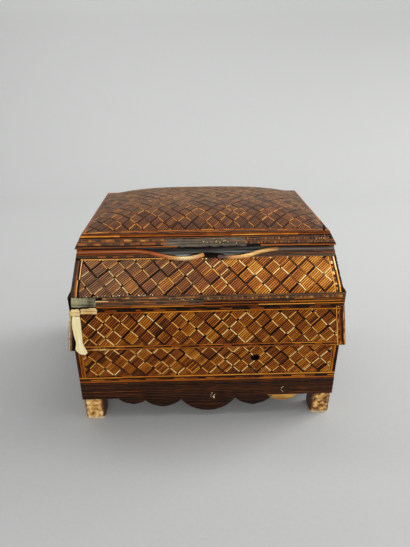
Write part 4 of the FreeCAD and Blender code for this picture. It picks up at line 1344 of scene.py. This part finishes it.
class STRAWBOX_OT_apron(bpy.types.Operator):
    """Dark straws laid lengthwise over the apron and its lobes, which gives it its ribs."""

    bl_idname = "strawbox.apron"
    bl_label = "Apron straw"

    def execute(self, context):
        half = (BACK - FRONT) / 2
        middle = (FRONT + BACK) / 2
        faces = [
            ("front", Flat((0, FRONT, 0), (1, 0, 0), (0, 0, 1)), LOWER, LOBES),
            ("right", Flat((LOWER, middle, 0), (0, 1, 0), (0, 0, 1)), half, SIDE_LOBES),
            ("left", Flat((-LOWER, middle, 0), (0, -1, 0), (0, 0, 1)), half, SIDE_LOBES),
            ("back", Flat((0, BACK, 0), (-1, 0, 0), (0, 0, 1)), LOWER, []),
        ]
        for number, (name, face, reach, lobes) in enumerate(faces):
            rng = np.random.default_rng(70 + number)
            groups = []
            place = APRON_FOOT
            while place + RIB < APRON_HIGH[2] + 0.01:
                groups.append(self.rib(rng, (-reach, place), 2 * reach, 0.16))
                place += RIB
            top = APRON_HIGH[2]
            shape = within((-reach, APRON_FOOT), (reach, APRON_FOOT), (reach, top), (-reach, top))
            lay(f"apron_ribs_{name}", "case", together(groups), face, shape)
            for index, (centre, wide, drop) in enumerate(lobes):
                if name == "front" and (centre, wide, drop) == LOST_LOBE:
                    continue
                groups = []
                place = APRON_FOOT - RIB
                while place > APRON_FOOT - drop - RIB:
                    groups.append(self.rib(rng, (centre - wide / 2 - 1, place), wide + 2, 0.14))
                    place -= RIB
                shape = lobe_shape(centre, wide, drop)
                lay(f"apron_lobe_{name}_{index}", "case", together(groups), face, shape)
        return {"FINISHED"}

    def rib(self, rng, start, length, tone):
        """One row of thick straws, laid lengthwise."""
        tone += rng.normal(0, 0.03)
        return rule(rng, start, (1, 0), length, RIB - 0.15, tone, 75, 0.03, 0.05, 0.5)


class STRAWBOX_OT_wear(bpy.types.Operator):
    """Places where the straw is lost: bare corner, ledge, band, lobe, chips and a crack."""

    bl_idname = "strawbox.wear"
    bl_label = "Wear"

    def execute(self, context):
        rng = np.random.default_rng(81)
        kit = context.scene.straw_box_board
        pale = wood_finish("fresh_bare_limewood", kit.pale_wood, linear("#f3dca0"), (0, 0, 1), mottle=0.1)
        tan = wood_finish("worn_pale_limewood", linear("#f6da9a"), linear("#b5844a"), (1, 0, 0), mottle=0.3)
        gold = wood_finish("worn_bare_limewood", kit.bare_wood, linear("#8a6430"), (1, 0, 0), mottle=0.3)
        grey = wood_finish("glue_stained_wood", linear("#aaa27f"), linear("#40382a"), (1, 0, 0), mottle=0.5)
        brown = wood_finish("dirty_bare_wood", linear("#7d6f5c"), linear("#2f251b"), (1, 0, 0), mottle=0.22)
        skirt = skirt_front_face()
        tall = SKIRT_HIGH[2] - SKIRT_LOW[2]
        strip = [
            (-129.6, 1.4), (-125.8, -3.4), (-120.8, -4.6), (-118.4, -1.8), (-119.0, 0.6), (-122.3, 2.0),
            (-121.7, 12.8), (-121.3, 22.2), (-121.1, 31.5), (-121.0, 38.3), (-127.8, 38.9), (-129.2, 32.6),
            (-129.7, 25.7), (-129.1, 17.7), (-128.1, 10.1),
        ]
        slab(
            "bare_corner_strip", "case", skirt, ragged(rng, strip, 2.2, 0.1), 0.3, 0.7, pale,
            crown=0.2,
        )
        knob = [(-129.2, 39.3), (-121.4, 39.0), (-120.3, 44.2), (-121.5, 46.3), (-128.2, 46.0)]
        slab(
            "bare_corner_top", "case", skirt, ragged(rng, knob, 1.5, 0.25), 0.2, 0.9, tan,
            crown=0.5,
        )
        ledge_strip = [
            (-119.8, 41.4), (-111.2, 42.2), (-110.4, 40.8), (-105.0, 40.6), (-104.0, 44.7), (-105.8, 47.4),
            (-119.7, 46.0),
        ]
        slab(
            "bare_ledge_strip", "case", skirt, ragged(rng, ledge_strip, 1.6, 0.2), 0.2, 0.6, tan
        )
        foot, head = LEFT_SKIRT_LOW[0] + 0.1, 0.1 - LEDGE_HIGH[0]
        line = [(foot, 0.3), (foot + 1.1, 0.3), (head + 1.1, tall), (head, tall)]
        slab("side_board_edge", "case", skirt, ragged(rng, line, 3, 0.06), 0.0, 0.25, tan)
        ledge = Flat((0, LEDGE_LOW[1], LEDGE_LOW[2]), (1, 0, 0), (0, 0, 1))
        patch = [(-127.4, 3.2), (-105.4, 3.4), (-104.6, 8.0), (-104.8, 13.6), (-127.0, 13.7)]
        slab("bare_ledge_patch", "case", ledge, ragged(rng, patch), 0.0, 0.22, grey)
        band = lid_front_face()
        spot = [(-42, 0.7), (39, 0.6), (38, 8.7), (30, 8.9), (4, 8.8), (-12, 8.4), (-41, 8.2)]
        slab("bare_band_patch", "lid", band, ragged(rng, spot, 3, 0.3), 0.0, 0.2, brown)
        front = Flat((0, FRONT, 0), (1, 0, 0), (0, 0, 1))
        middle, wide, drop = LOST_LOBE
        radius = lobe_radius(wide, drop)
        half_angle = math.asin(wide / 2 / radius)
        angles = np.linspace(-half_angle, half_angle, 24)
        height = APRON_FOOT - drop + radius * (1 - np.cos(angles))
        arc = np.stack([middle + radius * np.sin(angles), height], axis=1)
        slab("bare_lobe", "case", front, arc + (0, -0.02), 0.0, 0.3, gold)
        dome = lid_dome()
        crack = [
            (117.6, -72), (119.4, -60), (120.2, -45), (120.5, -45), (119.9, -60), (118.6, -72),
            (117.0, -76.5), (114.6, -76.8),
        ]
        slab(
            "hip_crack", "lid", dome, ragged(rng, crack[::-1], 2, 0.1), 0.3, 0.3, glue_finish(),
        )
        self.crumbs("band_crumbs", rng, band, (13, 5.4), (8.5, 1.5), 34, 0.75, tan, "lid")
        self.crumbs("band_crumbs_right", rng, band, (112, 6.5), (3.5, 1.6), 9, 0.7, tan, "lid")
        self.crumbs("slope_chips", rng, bevel_face(), (-82, -4.4), (16, 0.3), 22, 0.65, pale, "case")
        self.crumbs("ledge_chips", rng, ledge, (-24, 9.6), (13, 1.0), 16, 0.5, pale, "case")
        self.crumbs("ledge_specks", rng, ledge, (-2, 11.8), (60, 1.2), 40, 0.38, tan, "case")
        self.crumbs("skirt_chips", rng, skirt, (-106, 2.2), (4.0, 1.0), 14, 0.6, tan, "case")
        self.crumbs("knob_chips", rng, front, (56, 62), (6, 0.6), 6, 0.6, pale, "drawer")
        self.crumbs("apron_chips", rng, front, (6, 27.5), (1.6, 2.6), 9, 0.8, pale, "case")
        self.crumbs("apron_chips_right", rng, front, (78, 34.5), (1.8, 1.6), 7, 0.75, pale, "case")
        return {"FINISHED"}

    def crumbs(self, name, rng, face, middle, spread, count, size, material, body):
        """Small eight-sided grains on a face: six points, each pushed out by chance."""
        place = np.array(middle) + np.clip(rng.normal(0, 1, (count, 2)), -1.9, 1.9) * spread
        radius = size * rng.uniform(0.35, 1.0, (count, 1))
        axes = np.array([[1, 0, 0], [0, 1, 0], [-1, 0, 0], [0, -1, 0], [0, 0, 1], [0, 0, -1]], float)
        shape = axes[None] * radius[:, None] * rng.uniform(0.6, 1.2, (count, 6, 1))
        flat = place[:, None, :] + shape[..., :2]
        lift = 0.35 + radius * 0.6 + shape[..., 2]
        points = face.at(flat[..., 0], flat[..., 1], lift).reshape(-1, 3) * MM
        sides = [(0, 1, 4), (1, 2, 4), (2, 3, 4), (3, 0, 4), (1, 0, 5), (2, 1, 5), (3, 2, 5), (0, 3, 5)]
        faces = (np.array(sides)[None] + 6 * np.arange(count)[:, None, None]).reshape(-1, 3)
        mesh = bpy.data.meshes.new(name)
        mesh.from_pydata(points.tolist(), [], faces.tolist())
        return finish_piece(name, mesh, body, material)


def block_mesh(low, high, rng, wear):
    """Points and faces of a worn block: rings of a rounded square carried up its height.

    A ring is the curve |x|^7 + |y|^7 = 1 stretched to the block. It is drawn in at the
    foot, and its size falls by up to the wear where sines over the angle and the height
    add up. A fan closes each end.
    """
    angles = np.linspace(0, 2 * math.pi, 64, endpoint=False)[None, :]
    share = np.concatenate([[0.0, 0.02, 0.05], np.linspace(0.1, 1, 28)])[:, None]
    size = (np.abs(np.cos(angles)) ** 7 + np.abs(np.sin(angles)) ** 7) ** (-1 / 7)
    waves = sum(
        np.sin(turns * angles + rises * share + start)
        for turns, rises, start in zip(rng.integers(2, 13, 9), rng.uniform(-24, 24, 9), rng.uniform(0, 6, 9))
    )
    size = size * (1 - wear * np.clip(0.5 + waves / 7, 0, 1))
    size = size * (1 - 0.03 * np.clip(1 - share / 0.07, 0, 1) ** 2)
    middle, half = (low + high) / 2, (high - low) / 2
    x = middle[0] + half[0] * size * np.cos(angles)
    y = middle[1] + half[1] * size * np.sin(angles)
    z = low[2] + (high[2] - low[2]) * share + 0 * angles
    points = np.stack([x, y, z], axis=-1).reshape(-1, 3)
    rows, columns = z.shape
    ring = np.arange(columns)
    after = (ring + 1) % columns
    level = (np.arange(rows - 1) * columns)[:, None]
    walls = np.stack([level + ring, level + after, level + columns + after, level + columns + ring], axis=-1)
    top = (rows - 1) * columns
    count = rows * columns
    ends = [(middle[0], middle[1], low[2]), (middle[0], middle[1], high[2])]
    lids = [(count, b, a) for a, b in zip(ring, after)]
    lids += [(count + 1, top + a, top + b) for a, b in zip(ring, after)]
    return np.concatenate([points, ends]), walls.reshape(-1, 4).tolist() + lids


class STRAWBOX_OT_feet(bpy.types.Operator):
    """Worn carved feet, each with its post behind the apron."""

    bl_idname = "strawbox.feet"
    bl_label = "Feet"

    def execute(self, context):
        for number, name in enumerate(sorted(item for item in frame["nodes"] if item.startswith("foot_"))):
            rng = np.random.default_rng(90 + number)
            low, high = corners(name)
            top = high.copy()
            top[2] = FOOT_HEIGHT
            points, faces = block_mesh(low, top, rng, 0.04)
            inner_low, inner_high = low.copy(), high.copy()
            inner_low[2] = FOOT_HEIGHT - 1
            for axis in (0, 1):
                if low[axis] + high[axis] > 0:
                    inner_high[axis] -= APRON_WALL
                else:
                    inner_low[axis] += APRON_WALL
            post, post_faces = block_mesh(inner_low, inner_high, rng, 0.01)
            faces += [tuple(index + len(points) for index in face) for face in post_faces]
            mesh = bpy.data.meshes.new("worn_" + name)
            mesh.from_pydata((np.concatenate([points, post]) * MM).tolist(), [], faces)
            piece = finish_piece("worn_" + name, mesh, "case", foot_finish(), smooth=True)
            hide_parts(name)
        return {"FINISHED"}


class STRAWBOX_OT_boards(bpy.types.Operator):
    """Finishes of the boards, feet, bead, lip and hinges."""

    bl_idname = "strawbox.boards"
    bl_label = "Boards and hinges"

    def execute(self, context):
        kit = context.scene.straw_box_board
        wood = (kit.old_wood, kit.old_grain)
        sides = {"front": (0, -1, 0), "back": (0, 1, 0), "left": (-1, 0, 0), "right": (1, 0, 0)}
        glued = {
            "slope_panel": (0, -0.55, 0.83), "lid_dome": (0, 0, 1), "upper_back": (0, 1, 0),
            "lower_back": (0, 1, 0), "drawer_front": (0, -1, 0),
        }
        plain_boards = (
            "upper_front", "divider_board", "base_board", "drawer_bottom", "drawer_back",
            "drawer_side_left", "drawer_side_right",
        )
        for name, item in self.shown():
            if name.startswith("foot_"):
                finish = foot_finish()
            elif name.startswith("hinge_nails"):
                finish = metal_finish("hand_cut_iron", kit.iron, 0.5, 0.3)
            elif name.startswith("hinge_"):
                finish = metal_finish("old_hammered_brass", kit.brass, 0.32, 0.22)
            elif name.startswith("slope_bead"):
                finish = reed_finish()
            elif name.startswith("lip_"):
                finish = lip_finish()
            else:
                side = name.rsplit("_", 1)[1]
                grain = (0, 1, 0) if side in ("left", "right") else (1, 0, 0)
                covered = None if name in plain_boards else glued.get(name, sides.get(side))
                label = name if name in glued else side
                if covered is None:
                    label = "plain"
                dusty = 6.0 if name == "lid_dome" else 1.0
                finish = wood_finish("planed_spruce_" + label, *wood, grain, covered, dusty=dusty)
            item.data.materials.clear()
            item.data.materials.append(finish)
        return {"FINISHED"}

    def shown(self):
        """The boards and fittings that came with the frame, with their objects."""
        return [(name, bpy.data.objects[name]) for name in frame["nodes"] if name in bpy.data.objects]


class STRAWBOX_OT_stage(bpy.types.Operator):
    """Seamless paper, soft lamps and the camera."""

    bl_idname = "strawbox.stage"
    bl_label = "Stage"

    def execute(self, context):
        kit = context.scene.straw_box_stage
        scene = context.scene
        self.sweep()
        self.lamp("window", (2.1, 0.55, 1.35), (0, 0, 0.08), (1.1, 1.1), kit.window_power)
        self.lamp("overhead", (0.62, -0.08, 1.45), (0, 0, 0.1), (0.9, 0.8), kit.overhead_power)
        self.lamp("fill", (0.1, -1.9, 1.0), (0, 0, 0.1), (1.6, 1.0), kit.fill_power)
        self.lamp("wall", (-0.45, 0.4, 1.2), (-0.3, 1.25, 0.45), (1.4, 0.5), kit.wall_power)
        world = bpy.data.worlds.new("room")
        world.use_nodes = True
        sky = world.node_tree.nodes["Background"]
        sky.inputs["Color"].default_value = (*linear("#f4f5f4"), 1)
        sky.inputs["Strength"].default_value = kit.sky_strength
        scene.world = world
        scene.view_settings.view_transform = "Standard"

        camera = bpy.data.objects.new("camera", bpy.data.cameras.new("camera"))
        scene.collection.objects.link(camera)
        heading, pitch, roll = math.radians(-1.7818), math.radians(25.578), math.radians(-0.29975)
        turn = Euler((0, 0, heading)).to_matrix() @ Euler((math.pi / 2 - pitch, 0, 0)).to_matrix()
        turn = turn @ Euler((0, 0, roll)).to_matrix()
        camera.matrix_world = Matrix.Translation((-0.01371, -0.44973, 0.34053)) @ turn.to_4x4()
        camera.data.sensor_width = 36
        camera.data.lens = 28.13
        camera.data.clip_start = 0.01
        scene.camera = camera
        return {"FINISHED"}

    def sweep(self):
        """Paper that lies flat and rises in a wide curve behind: a profile drawn across."""
        back, bend, top, wide = 0.75, 0.5, 2.4, 4.0
        angles = np.linspace(0, math.pi / 2, 24)
        curve = np.stack([back + bend * np.sin(angles), bend * (1 - np.cos(angles))], axis=1)
        line = np.concatenate([[(-2.5, 0.0)], curve, [(back + bend, top)]])
        count = len(line)
        points = np.concatenate([
            np.column_stack([np.full(count, side * wide), line]) for side in (-1, 1)
        ])
        ring = np.arange(count - 1)
        faces = np.stack([ring, ring + count, ring + count + 1, ring + 1], axis=1)
        mesh = bpy.data.meshes.new("paper_sweep")
        mesh.from_pydata(points.tolist(), [], faces.tolist())
        mesh.materials.append(paper_finish())
        mesh.polygons.foreach_set("use_smooth", np.ones(len(faces), bool))
        sweep = bpy.data.objects.new("paper_sweep", mesh)
        bpy.context.scene.collection.objects.link(sweep)

    def lamp(self, name, place, target, size, power):
        """A soft rectangular lamp aimed at a point."""
        data = bpy.data.lights.new(name, "AREA")
        data.shape = "RECTANGLE"
        data.size, data.size_y = size
        data.energy = power
        lamp = bpy.data.objects.new(name, data)
        bpy.context.scene.collection.objects.link(lamp)
        lamp.location = place
        way = np.array(target) - np.array(place)
        length = float(np.linalg.norm(way))
        lamp.rotation_euler = (math.acos(-way[2] / length), 0, math.atan2(way[1], way[0]) - math.pi / 2)


class STRAWBOX_PT_panel(bpy.types.Panel):
    """Settings and makers of the straw box."""

    bl_label = "Straw Box"
    bl_idname = "STRAWBOX_PT_panel"
    bl_space_type = "VIEW_3D"
    bl_region_type = "UI"
    bl_category = "Straw Box"

    def draw(self, context):
        scene = context.scene
        for group in (scene.straw_box_straw, scene.straw_box_board, scene.straw_box_stage):
            box = self.layout.box()
            for name in group.bl_rna.properties.keys():
                if name not in ("rna_type", "name"):
                    box.prop(group, name)
        for maker in MAKERS:
            self.layout.operator(maker.bl_idname)


SETTINGS = (StrawSettings, BoardSettings, StageSettings)
MAKERS = (
    STRAWBOX_OT_stage,
    STRAWBOX_OT_boards,
    STRAWBOX_OT_lid,
    STRAWBOX_OT_slope,
    STRAWBOX_OT_ledge,
    STRAWBOX_OT_skirt,
    STRAWBOX_OT_drawer,
    STRAWBOX_OT_sides,
    STRAWBOX_OT_back,
    STRAWBOX_OT_apron,
    STRAWBOX_OT_wear,
    STRAWBOX_OT_feet,
)


def register():
    for kind in SETTINGS + MAKERS + (STRAWBOX_PT_panel,):
        bpy.utils.register_class(kind)
    bpy.types.Scene.straw_box_straw = PointerProperty(type=StrawSettings)
    bpy.types.Scene.straw_box_board = PointerProperty(type=BoardSettings)
    bpy.types.Scene.straw_box_stage = PointerProperty(type=StageSettings)


def unregister():
    for name in ("straw_box_straw", "straw_box_board", "straw_box_stage"):
        delattr(bpy.types.Scene, name)
    for kind in reversed(SETTINGS + MAKERS + (STRAWBOX_PT_panel,)):
        bpy.utils.unregister_class(kind)


def main():
    """Registers the add-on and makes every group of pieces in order."""
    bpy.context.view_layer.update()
    register()
    bpy.ops.strawbox.stage()
    bpy.ops.strawbox.boards()
    bpy.ops.strawbox.lid()
    bpy.ops.strawbox.slope()
    bpy.ops.strawbox.ledge()
    bpy.ops.strawbox.skirt()
    bpy.ops.strawbox.drawer()
    bpy.ops.strawbox.sides()
    bpy.ops.strawbox.back()
    bpy.ops.strawbox.apron()
    bpy.ops.strawbox.wear()
    bpy.ops.strawbox.feet()


if __name__ == "__main__":
    main()
